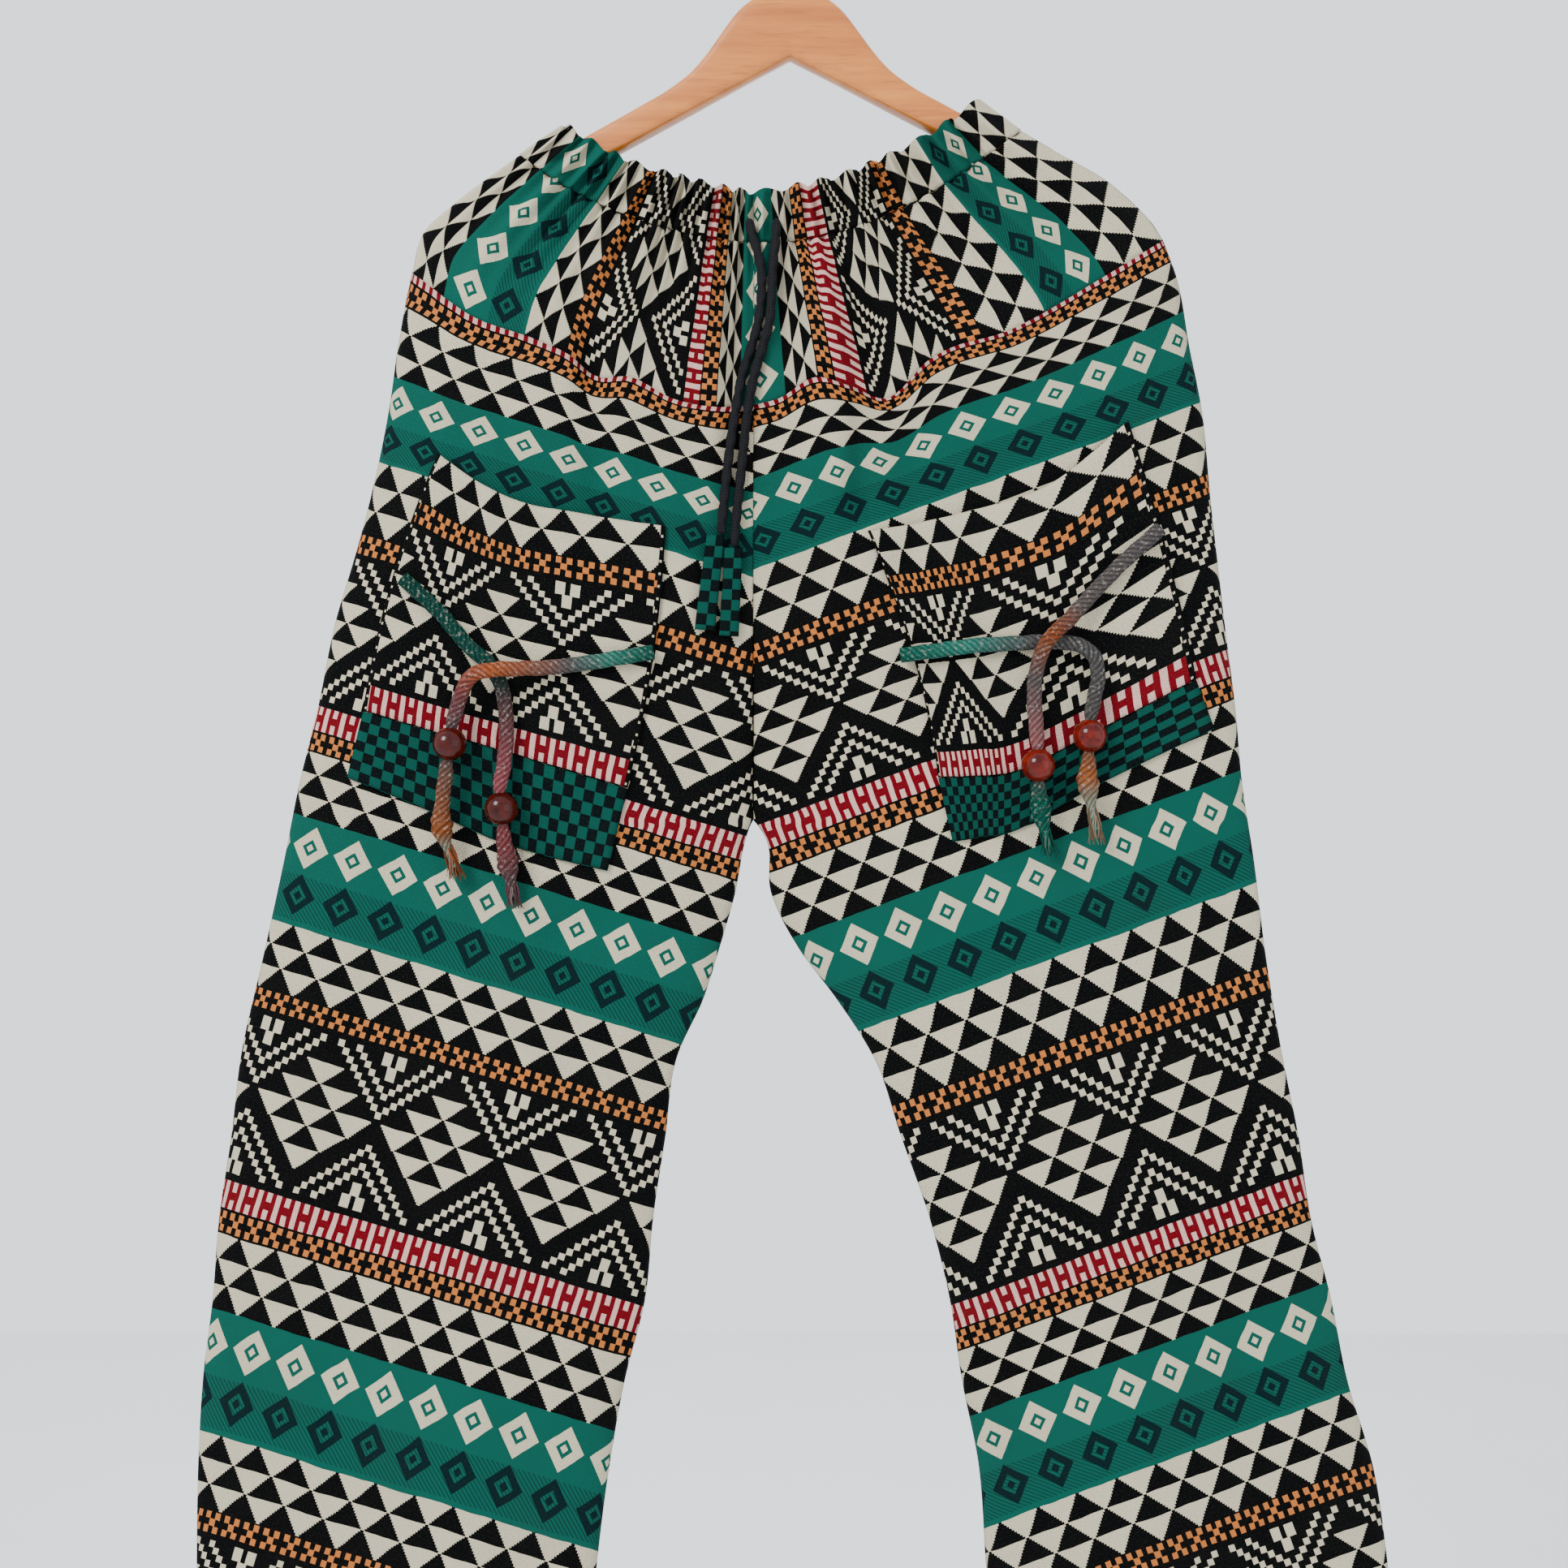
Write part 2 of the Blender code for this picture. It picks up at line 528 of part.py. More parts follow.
def make_pockets(height, cloth, strip_cloth):
    """Each pocket lies on its leg, its mouth a little open; the strip is sewn on along its lower edge."""
    for side, edges in POCKETS.items():
        patch(
            f"pocket_{side}", edges["top"], edges["low"], edges["bows"], POCKET_POINTS, height,
            lambda share, way: POCKET_MOUTH * math.sin(math.pi * share) * (1 - way) ** 2, CLOTH, cloth,
        )
        under = [(x, drop + STRIP_GAP) for x, drop in edges["low"]]
        patch(
            f"pocket_strip_{side}", under, edges["strip"], (0, 0), STRIP_POINTS, height,
            lambda share, way: 0.0, CLOTH, strip_cloth,
        )


TIE = 0.008  # a folded tie's thickness
BEAD = 0.010  # radius of a bead
BORE = 0.0033
NECK = 0.0056  # thickness of the tie's end where it runs through the bead
KNOT = 0.015
KNOT_SHAPE = ((-0.52, 0.45), (-0.3, 0.85), (0, 1), (0.3, 0.8), (0.55, 0.42))  # along and thick, in knots
TUFT = 0.0125  # of the frayed tip
TIES = {
    "left_outer": {
        "route": (
            (-0.2321, -0.0271, -0.4237), (-0.2209, -0.0283, -0.4336), (-0.2102, -0.0287, -0.4436),
            (-0.2006, -0.0287, -0.4547), (-0.1922, -0.0287, -0.4646), (-0.1800, -0.0288, -0.4753),
            (-0.1727, -0.0284, -0.4885), (-0.1707, -0.0280, -0.4991), (-0.1697, -0.0276, -0.5109),
            (-0.1700, -0.0279, -0.5227), (-0.1710, -0.0291, -0.5350),
        ),
        "bead": (-0.1722, -0.0311, -0.5616),
        "neck": (-0.1712, -0.0305, -0.5762), "knot": (-0.1688, -0.0293, -0.5933),
        "tip": (-0.1644, -0.0285, -0.6221),
    },
    "left_inner": {
        "route": (
            (-0.0815, -0.0286, -0.4680), (-0.1015, -0.0289, -0.4714), (-0.1234, -0.0293, -0.4749),
            (-0.1429, -0.0306, -0.4773), (-0.1595, -0.0337, -0.4783), (-0.1761, -0.0371, -0.4792),
            (-0.1873, -0.0362, -0.4817), (-0.1941, -0.0336, -0.4895), (-0.1980, -0.0320, -0.5002),
        ),
        "bead": (-0.2029, -0.0320, -0.5231),
        "neck": (-0.2053, -0.0312, -0.5400), "knot": (-0.2083, -0.0288, -0.5714),
        "tip": (-0.1990, -0.0264, -0.6055),
    },
    "right_inner": {
        "route": (
            (0.0662, -0.0276, -0.4700), (0.0774, -0.0290, -0.4685), (0.0886, -0.0293, -0.4671),
            (0.1115, -0.0298, -0.4641), (0.1301, -0.0298, -0.4632), (0.1476, -0.0296, -0.4622),
            (0.1618, -0.0293, -0.4622), (0.1739, -0.0289, -0.4641), (0.1827, -0.0286, -0.4719),
            (0.1842, -0.0291, -0.4836), (0.1817, -0.0305, -0.4963),
        ),
        "bead": (0.1788, -0.0322, -0.5182),
        "neck": (0.1783, -0.0310, -0.5320), "knot": (0.1783, -0.0291, -0.5465),
        "tip": (0.1852, -0.0264, -0.5838),
    },
    "right_outer": {
        "route": (
            (0.2222, -0.0268, -0.3939), (0.2120, -0.0280, -0.4032), (0.2013, -0.0290, -0.4125),
            (0.1895, -0.0299, -0.4241), (0.1774, -0.0318, -0.4368), (0.1657, -0.0353, -0.4495),
            (0.1535, -0.0380, -0.4612), (0.1476, -0.0357, -0.4749), (0.1457, -0.0320, -0.4904),
            (0.1466, -0.0308, -0.5060),
        ),
        "bead": (0.1481, -0.0318, -0.5358),
        "neck": (0.1486, -0.0310, -0.5480), "knot": (0.1498, -0.0291, -0.5620),
        "tip": (0.1564, -0.0267, -0.5914),
    },
}
BRAID = 0.0058  # the drawstring's thickness
DRAWSTRINGS = {
    "left": (
        (-0.0244, -0.0184, -0.2055), (-0.0232, -0.0206, -0.2140), (-0.0200, -0.0235, -0.2251),
        (-0.0172, -0.0258, -0.2384), (-0.0171, -0.0272, -0.2541), (-0.0191, -0.0272, -0.2706),
        (-0.0238, -0.0267, -0.2872), (-0.0288, -0.0266, -0.3028), (-0.0332, -0.0271, -0.3271),
        (-0.0367, -0.0266, -0.3515),
        (-0.0401, -0.0271, -0.3837), (-0.0410, -0.0267, -0.3973),
    ),
    "right": (
        (-0.0079, -0.0187, -0.2055), (-0.0082, -0.0207, -0.2140), (-0.0091, -0.0234, -0.2251),
        (-0.0103, -0.0256, -0.2384), (-0.0109, -0.0275, -0.2541), (-0.0123, -0.0290, -0.2706),
        (-0.0168, -0.0287, -0.2871), (-0.0215, -0.0279, -0.3028), (-0.0259, -0.0270, -0.3281),
        (-0.0293, -0.0265, -0.3603),
        (-0.0323, -0.0264, -0.3905), (-0.0332, -0.0258, -0.4047),
    ),
}
TABS = {  # edges of the folded tab at each free end of the drawstring, as seen from the front
    "left": (((-47.5, 329.8), (-36.5, 330.0)), ((-55, 388), (-42.5, 389))),
    "right": (((-36.6, 337.6), (-25.4, 337.6)), ((-40, 391.5), (-28, 392))),
}
TAB_POINTS = (3, 6)


def make_bead(name, place, way, glass):
    """A round bead turned about its bore, which lies along "way"."""
    rim = math.asin(BORE / BEAD)
    angles = np.linspace(rim, math.pi - rim, 9).tolist()
    profile = [(BEAD * math.sin(angle), 0.0, BEAD * math.cos(angle)) for angle in angles]
    mesh = bpy.data.meshes.new(name)
    count = len(profile)
    mesh.from_pydata(profile, [(i, (i + 1) % count) for i in range(count)], [])
    bead = added(name, mesh, glass)
    turn = bead.modifiers.new("turned", "SCREW")
    turn.steps = turn.render_steps = 18
    turn.use_merge_vertices = True
    turn.merge_threshold = 0.00001
    turn.use_normal_calculate = True
    bead.location = place
    bead.rotation_mode = "QUATERNION"
    bead.rotation_quaternion = way.to_track_quat("-Z", "Y")


def make_ties(cloth, glass):
    """The ties from the pockets' side seams, each one strip that runs through its bead to a knot and a tuft."""
    top = math.sqrt(BEAD**2 - BORE**2)
    for name, tie in TIES.items():
        bead, neck, knot, tip = (Vector(tie[key]) for key in ("bead", "neck", "knot", "tip"))
        way = (neck - bead).normalized()
        make_bead(f"bead_{name}", bead, way, glass)
        down = (tip - neck).normalized()
        fray = (tip - knot).normalized()
        strip = [(Vector(place), TIE) for place in tie["route"]]
        strip += [(bead - way * (top + 0.4 * TIE), TIE), (bead - way * (top + 0.15 * TIE), TIE)]
        strip += [(bead - way * top, NECK), (bead + way * (top + 0.1 * BEAD), NECK), (neck, NECK)]
        strip += [(knot + down * KNOT * along, KNOT * thick) for along, thick in KNOT_SHAPE]
        strip += [(knot.lerp(tip, 0.7), 0.75 * TUFT), (tip - fray * 0.2 * TUFT, TUFT), (tip, 0.6 * TUFT)]
        tube(f"tie_{name}", [place for place, _ in strip], [thick / 2 for _, thick in strip], 2, cloth)


def make_drawstring(height, braid, tab_cloth):
    """The two free ends of the waist cord, side by side, each with a folded tab."""
    for side, route in DRAWSTRINGS.items():
        tube(f"drawstring_{side}", route, [BRAID / 2] * len(route), 2, braid)
        upper, lower = TABS[side]
        patch(
            f"drawstring_tab_{side}", upper, lower, (0, 0), TAB_POINTS, height,
            lambda share, way: 0.0, 2 * CLOTH, tab_cloth,
        )


for leftover in list(bpy.data.objects):
    bpy.data.objects.remove(leftover, do_unlink=True)
TROUSERS = bpy.data.collections.new("wool_trousers_on_hanger")
bpy.context.scene.collection.children.link(TROUSERS)

jacquard = finish("jacquard wool", (0.16, 0.17, 0.15), 0.9)
check = finish("teal and navy strip", (0.02, 0.14, 0.12), 0.9)
dyed = finish("space-dyed tie", (0.35, 0.3, 0.28), 0.9)
black = finish("black braid", (0.01, 0.01, 0.012), 0.8)
amber = finish("dark red glass", (0.12, 0.02, 0.01), 0.1)
wood = finish("varnished wood", (0.62, 0.33, 0.12), 0.4)
steel = finish("hook wire", (0.6, 0.6, 0.6), 0.3, 1.0)

make_hanger(wood)
make_hook(steel)
make_casings(jacquard)
front = surface_under(make_panels(jacquard))
make_pockets(front, jacquard, check)
make_ties(dyed, amber)
make_drawstring(front, black, check)
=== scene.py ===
"""Looks of the loose jacquard trousers that hang by their gathered waist from a wooden hanger.

Metres, +Z up, the front towards -Y. The origin is the inner top of the hanger's hook. The cloth's tables are in
millimetres: "x" counts to the right of the garment's table line, "drop" down from under the hanger's top.
"""

import math

import bpy
import numpy as np
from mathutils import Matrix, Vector
from mathutils.bvhtree import BVHTree


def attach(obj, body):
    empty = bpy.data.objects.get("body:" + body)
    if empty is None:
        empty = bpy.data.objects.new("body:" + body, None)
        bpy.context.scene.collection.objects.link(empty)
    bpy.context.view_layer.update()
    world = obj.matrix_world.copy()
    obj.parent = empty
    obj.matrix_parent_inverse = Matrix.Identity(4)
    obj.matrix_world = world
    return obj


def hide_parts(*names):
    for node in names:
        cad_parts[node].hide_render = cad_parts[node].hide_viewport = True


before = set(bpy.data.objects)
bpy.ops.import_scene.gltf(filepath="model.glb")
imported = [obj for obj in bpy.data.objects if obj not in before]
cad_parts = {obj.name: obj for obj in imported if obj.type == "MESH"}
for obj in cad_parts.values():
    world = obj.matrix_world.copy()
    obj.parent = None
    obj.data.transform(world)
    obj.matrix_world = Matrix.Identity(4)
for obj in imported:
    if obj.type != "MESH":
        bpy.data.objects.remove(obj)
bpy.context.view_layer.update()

# The view. The trousers are seen straight on from a metre away, in soft even daylight, before a pale
# backdrop, and the pale floor lies below the hems.
view = bpy.data.cameras.new("view")
view.sensor_width = 36.0
view.lens = 37.27
eye = bpy.data.objects.new("view", view)
eye.location = (-0.0035, -1.0, -0.547)
eye.rotation_euler = (math.radians(90), 0, 0)
bpy.context.scene.collection.objects.link(eye)
bpy.context.scene.camera = eye

day = bpy.data.worlds.new("day")
day.use_nodes = True
day.node_tree.nodes["Background"].inputs["Color"].default_value = (0.82, 0.86, 0.91, 1)
day.node_tree.nodes["Background"].inputs["Strength"].default_value = 1.9
bpy.context.scene.world = day

for name, place, size, power in (
    ("window", (-1.6, -1.9, 1.1), 1.1, 105.0),
    ("fill", (1.8, -1.6, -0.4), 1.8, 10.0),
    ("behind", (0.4, 2.4, 0.6), 1.8, 22.0),
):
    glow = bpy.data.lights.new(name, "AREA")
    glow.energy = power
    glow.size = size
    lamp = bpy.data.objects.new(name, glow)
    lamp.location = place
    aim = np.array((0.0, 0.0, -0.55)) - np.array(place)
    lamp.rotation_euler = (
        math.acos(-aim[2] / np.linalg.norm(aim)), 0, math.atan2(aim[1], aim[0]) - math.pi / 2
    )
    bpy.context.scene.collection.objects.link(lamp)


class Amount:
    """A number that changes over a surface: arithmetic on it adds Math nodes to its material."""

    def __init__(self, finish, socket):
        self.finish, self.socket = finish, socket

    def maths(self, operation, *others):
        return self.finish.node("Math", {"operation": operation}, dict(enumerate((self, *others))))

    def __add__(self, other):
        return self.maths("ADD", other)

    __radd__ = __add__

    def __sub__(self, other):
        return self.maths("SUBTRACT", other)

    def __rsub__(self, other):
        return self.finish.node("Math", {"operation": "SUBTRACT"}, {0: other, 1: self})

    def __mul__(self, other):
        return self.maths("MULTIPLY", other)

    __rmul__ = __mul__

    def __truediv__(self, other):
        return self.maths("DIVIDE", other)

    def __abs__(self):
        return self.maths("ABSOLUTE")

    def __lt__(self, other):
        return self.maths("LESS_THAN", other)

    def __gt__(self, other):
        return self.maths("GREATER_THAN", other)

    def floor(self):
        return self.maths("FLOOR")

    def within(self, low, high):
        return (self > low) * (self < high)

    def left(self, period=1.0):
        """What is left over after whole periods, from 0 to the period."""
        part = (self / period if period != 1.0 else self).maths("FRACT")
        return part * period if period != 1.0 else part

    def sine(self):
        return self.maths("SINE")

    def eased(self, low, high):
        """0 below low, 1 above high, straight between."""
        return self.finish.node("MapRange", {"clamp": True}, {0: self, 1: low, 2: high, 3: 0.0, 4: 1.0})


class Finish:
    """One material. node() adds any node: its type, its settings, then the values or links of its sockets."""

    def __init__(self, name, roughness=0.85, **constants):
        self.material = bpy.data.materials.new(name)
        self.material.use_nodes = True
        self.tree = self.material.node_tree
        self.shader = self.tree.nodes["Principled BSDF"]
        self.shader.inputs["Roughness"].default_value = roughness
        for socket, value in constants.items():
            self.shader.inputs[socket.replace("_", " ")].default_value = value

    def node(self, kind, settings=(), inputs=(), output=0):
        made = self.tree.nodes.new("ShaderNode" + kind)
        for setting, value in dict(settings).items():
            if setting == "stops":
                while len(made.color_ramp.elements) < len(value):
                    made.color_ramp.elements.new(0.5)
                for stop, (place, colour) in zip(made.color_ramp.elements, value):
                    stop.position, stop.color = place, (*colour, 1)
            else:
                setattr(made, setting, value)
        for socket, value in dict(inputs).items():
            if isinstance(value, Amount):
                self.tree.links.new(value.socket, made.inputs[socket])
            else:
                made.inputs[socket].default_value = value
        return Amount(self, made.outputs[output])

    def place(self, map_name=None):
        """x, y, z of Object coordinates, or of a UV map, in millimetres."""
        if map_name:
            here = self.node("UVMap", {"uv_map": map_name})
        else:
            here = self.node("TexCoord", output="Object")
        apart = self.node("SeparateXYZ", (), {0: here})
        parts = [Amount(self, apart.socket.node.outputs[i]) for i in range(3)]
        return here, [part * 1000.0 for part in parts]

    def noise(self, where, scale, detail=2.0, roughness=0.5, stretch=None):
        if stretch:
            where = self.node("Mapping", (), {"Vector": where, "Scale": stretch})
        values = {"Vector": where, "Scale": scale, "Detail": detail, "Roughness": roughness}
        return self.node("TexNoise", (), values)

    def mixed(self, mask, below, above):
        """One colour or link over another where the mask is 1."""
        inputs = {0: mask}
        for socket, colour in ((6, below), (7, above)):
            inputs[socket] = colour if isinstance(colour, Amount) else (*colour, 1)
        return self.node("Mix", {"data_type": "RGBA"}, inputs, 2)

    def dyed(self, colour, relief=None, depth=0.001, strength=1.0, **varying):
        """Links the colour, a height for the Bump node, and any other varying inputs."""
        self.tree.links.new(colour.socket, self.shader.inputs["Base Color"])
        for socket, value in varying.items():
            self.tree.links.new(value.socket, self.shader.inputs[socket.replace("_", " ")])
        if relief is not None:
            bump = self.node("Bump", (), {"Strength": strength, "Distance": depth, "Height": relief})
            self.tree.links.new(bump.socket, self.shader.inputs["Normal"])
        return self.material


def ground(name, height, material):
    """A square of floor far wider than the view."""
    mesh = bpy.data.meshes.new(name)
    mesh.from_pydata([(-3, -3, height), (3, -3, height), (3, 3, height), (-3, 3, height)], [], [(0, 1, 2, 3)])
    mesh.materials.append(material)
    flat = bpy.data.objects.new(name, mesh)
    bpy.context.scene.collection.objects.link(flat)


pale = Finish("pale floor", 0.8)
where, _ = pale.place()
pale_paint = pale.dyed(pale.mixed(pale.noise(where, 3.0), (0.8, 0.82, 0.84), (0.86, 0.88, 0.9)))
ground("floor", -1.9, pale_paint)


# The drawstring's free ends. Two black braided cords come out of the casing at the centre front and hang side
# by side. Each is a tube carried along its route, with the braid's plaited strands raised on it.
BRAID = 0.0058
DRAWSTRINGS = {
    "left": (
        (-0.0244, -0.0184, -0.2055), (-0.0232, -0.0206, -0.2140), (-0.0200, -0.0235, -0.2251),
        (-0.0172, -0.0258, -0.2384), (-0.0171, -0.0272, -0.2541), (-0.0191, -0.0272, -0.2706),
        (-0.0238, -0.0267, -0.2872), (-0.0288, -0.0266, -0.3028), (-0.0332, -0.0271, -0.3271),
        (-0.0367, -0.0266, -0.3515), (-0.0401, -0.0271, -0.3837), (-0.0410, -0.0267, -0.3973),
    ),
    "right": (
        (-0.0079, -0.0187, -0.2055), (-0.0082, -0.0207, -0.2140), (-0.0091, -0.0234, -0.2251),
        (-0.0103, -0.0256, -0.2384), (-0.0109, -0.0275, -0.2541), (-0.0123, -0.0290, -0.2706),
        (-0.0168, -0.0287, -0.2871), (-0.0215, -0.0279, -0.3028), (-0.0259, -0.0270, -0.3281),
        (-0.0293, -0.0265, -0.3603), (-0.0323, -0.0264, -0.3905), (-0.0332, -0.0258, -0.4047),
    ),
}


def lofted(name, grid, material, uv=None, around=False, capped=False, facing=None):
    """A mesh of quads over a grid of points; "around" joins its last column to its first, "capped" closes its
    two end rows. It faces "facing", or away from the middle of each row. The UV map is in metres."""
    rows, columns = grid.shape[:2]
    index = np.arange(rows * columns).reshape(rows, columns)
    right = np.roll(index, -1, axis=1) if around else index[:, 1:]
    left = index if around else index[:, :-1]
    quads = np.stack([left[:-1], right[:-1], right[1:], left[1:]], axis=-1).reshape(-1, 4)
    corner = grid.reshape(-1, 3)[quads]
    normal = np.cross(corner[:, 2] - corner[:, 0], corner[:, 3] - corner[:, 1])
    away = grid.mean(axis=1)[:-1].repeat(left.shape[1], axis=0)
    out = corner.mean(axis=1) - away if facing is None else np.array(facing, float)
    faces = quads.tolist()
    if capped:
        faces += [index[0, ::-1].tolist(), index[-1].tolist()]
    if (normal * out).sum() < 0:
        faces = [face[::-1] for face in faces]
    mesh = bpy.data.meshes.new(name)
    mesh.from_pydata(grid.reshape(-1, 3).tolist(), [], faces)
    if uv is not None:
        corners = np.empty(len(mesh.loops), np.int64)
        mesh.loops.foreach_get("vertex_index", corners)
        layer = mesh.uv_layers.new(name="cloth")
        layer.data.foreach_set("uv", uv.reshape(-1, 2)[corners].astype(np.float32).ravel())
    mesh.shade_smooth()
    mesh.materials.append(material)
    piece = bpy.data.objects.new(name, mesh)
    bpy.context.scene.collection.objects.link(piece)
    return piece


def smooth_route(places, count):
    """Evenly spaced points on the smooth curve through the places, and how far along it each one lies."""
    p = np.array(places, float)
    p = np.vstack([2 * p[0] - p[1], p, 2 * p[-1] - p[-2]])
    t = np.linspace(0, 1, 12, endpoint=False)[:, None]
    spans = [
        0.5 * (2 * p[i] + (p[i + 1] - p[i - 1]) * t + (2 * p[i - 1] - 5 * p[i] + 4 * p[i + 1] - p[i + 2]) * t**2
               + (3 * p[i] - p[i - 1] - 3 * p[i + 1] + p[i + 2]) * t**3)
        for i in range(1, len(p) - 2)
    ]
    fine = np.vstack(spans + [p[-2:-1]])
    along = np.concatenate([[0], np.cumsum(np.linalg.norm(np.diff(fine, axis=0), axis=1))])
    at = np.linspace(0, along[-1], count)
    return np.stack([np.interp(at, along, fine[:, k]) for k in range(3)], axis=-1), at


def carried(route, across, outward):
    """A section carried along a route: "across" counts in the cloth's plane, "outward" to the front."""
    along = np.gradient(route, axis=0)
    along /= np.linalg.norm(along, axis=1, keepdims=True)
    front = np.array((0.0, -1.0, 0.0)) - along * (along @ np.array((0.0, -1.0, 0.0)))[:, None]
    front /= np.linalg.norm(front, axis=1, keepdims=True)
    side = np.cross(along, front)
    return route[:, None] + across[..., None] * side[:, None] + outward[..., None] * front[:, None]


def plaited(name, places, thick, material):
    """A round cord whose radius swells where its strands cross: two families of helices, left and right."""
    count = int(sum(math.dist(a, b) for a, b in zip(places, places[1:])) / 0.0008)
    route, at = smooth_route(places, count)
    turn = np.linspace(0, 2 * math.pi, 24, endpoint=False)[None, :]
    climb = at[:, None] / (1.9 * thick) * 2 * math.pi
    strands = np.maximum(np.cos(2 * turn + climb), np.cos(2 * turn - climb + 1.2))
    radius = thick / 2 * (0.9 + 0.12 * strands)
    ends = np.minimum(1, np.sqrt(np.minimum(at, at[-1] - at) / (0.35 * thick)))[:, None]
    radius = radius * (0.25 + 0.75 * ends)
    grid = carried(route, radius * np.sin(turn), -radius * np.cos(turn))
    uv = np.stack(np.broadcast_arrays(turn / (2 * math.pi) * thick * math.pi, at[:, None]), axis=-1)
    return lofted(name, grid, material, uv, around=True, capped=True), route, float(at[-1])


braid = Finish("black braid", 0.8, Specular_IOR_Level=0.08)
where, (around_cord, down_cord, _) = braid.place("cloth")
strand = ((around_cord * 0.9 + down_cord) * 1.7).sine() * ((around_cord * 0.9 - down_cord) * 1.7).sine()
fuzz = braid.noise(where, 900.0, 3.0)
# The braid's colour is lighter on the strands' crests and darker in the grooves between them. This is a painted
# highlight and painted shade that follow the strand pattern of the bump. The fine noise over it is the fibres'
# fuzz, at random.
black_braid = braid.dyed(
    braid.mixed(fuzz * 0.5 + strand.eased(-1.0, 1.0) * 0.5, (0.002, 0.002, 0.0025), (0.011, 0.011, 0.013)),
    strand * 0.5 + fuzz * 0.6, 0.0005, 0.6,
)


# The trousers' cloth. Eight pieces of loom-patterned wool, sewn at the centre, the sides, the inside legs and
# under the yoke, hang from a gathered casing. Each is a thin shell on its pattern piece's own curved form.
MM = 0.001
GAP = -0.0003  # the pieces overlap this much at the centre, so that no light shows through the seam
CASING_GAP = 0.0007
CLOTH = 0.0018
NECK_LEVEL = -0.064
SIDE_SHIFT = -0.0035
ROUNDNESS = 2.6
VIEW = 1.0
VIEW_DROP = 483.0
VIEW_FADES = (600.0, 900.0)
FRONT_LIES = 0.025
CENTRE = -19.0
YOKE_LEVEL = 249.0
SETTLE = 220.0
CROTCH_LEVEL = 505.0
YOKE_ROWS = 40
RUFFLES = 36
FOLDS_HALF = 5.0
FOLD_DEPTH = 3.0
RISE = 0.5
CASING_DEPTH = (14.0, 16.0)
RUFFLE_DEPTH = (1.5, 0.8)


def table(columns, *rows):
    """Named columns of numbers, one row for each section or fold."""
    return {name: np.array(values, float) for name, values in zip(columns.split(), zip(*rows))}


OUTLINE = table(
    "drop left right",
    (148, -223.5, 233.5), (168, -229, 241), (215, -238, 250), (250, -243, 257), (310, -255.5, 263),
    (345, -265, 267), (380, -275.5, 271), (440, -288, 278.5), (480, -298, 282), (530, -308, 289.5),
    (590, -321, 297), (650, -334.5, 307), (700, -340.5, 317), (750, -348, 324.5), (800, -352, 337),
    (850, -358, 347), (900, -360.5, 362), (966, -361.5, 372), (1121, -364, 388),
)
INSEAM = table(
    "drop left right",
    (505, -19.5, -18.5), (515, -23, -12), (550, -30, -8), (585, -40, 9.5), (615, -49.5, 32),
    (650, -65.5, 54.5), (700, -73, 72), (750, -80.5, 89.5), (800, -85.5, 102), (850, -98, 109.5),
    (900, -107, 119.5), (966, -115.5, 124.5), (1121, -126, 140),
)
FULLNESS = table(  # half the garment's depth, and the share of it left at the centre seam
    "drop depth centre",
    (249, 26, 0.92), (320, 25, 0.85), (400, 22, 0.62), (450, 19.5, 0.38), (480, 18, 0.2), (498, 17, 0.08),
    (505, 17, 0), (600, 16.5, 0), (800, 18, 0), (1121, 20, 0),
)
CASING = table(  # stations from the left end to the right end of the waist casing
    "across top_x top_drop low_x low_drop",
    (0.0, -137, 75.5, -163, 95), (0.1, -113, 90, -134, 115), (0.2, -90, 101, -105, 129),
    (0.3, -66, 108, -76, 139), (0.4, -42, 114, -47, 146), (0.5, -19, 118, -19, 149),
    (0.6, 9, 114, 14, 147), (0.7, 37, 107, 47, 138), (0.8, 65, 95, 80, 124), (0.9, 93, 80, 113, 104),
    (1.0, 120.5, 61, 146, 80),
)
SHOULDER = {
    "left": table("way x drop", (0, -163, 95), (0.45, -203, 125), (0.75, -223, 145), (1, -229, 168)),
    "right": table(
        "way x drop",
        (0, 146, 80), (0.27, 167, 92.5), (0.7, 207, 117.5), (0.92, 228, 139), (1, 233.5, 148),
    ),
}
YOKE_SEAM = {
    "front": table(
        "x drop",
        (-229, 168), (-193, 194), (-150, 210), (-130, 220), (-119, 230), (-94, 232), (-69, 245), (-44, 250),
        (-19, 249), (-3, 245), (18.5, 232), (40, 237), (63.5, 245), (90, 221), (141.5, 202), (196, 171),
        (233.5, 148),
    ),
    "back": table(
        "x drop",
        (-229, 168), (-150, 209), (-80, 235), (-19, 249), (60, 232), (150, 192), (233.5, 148),
    ),
}
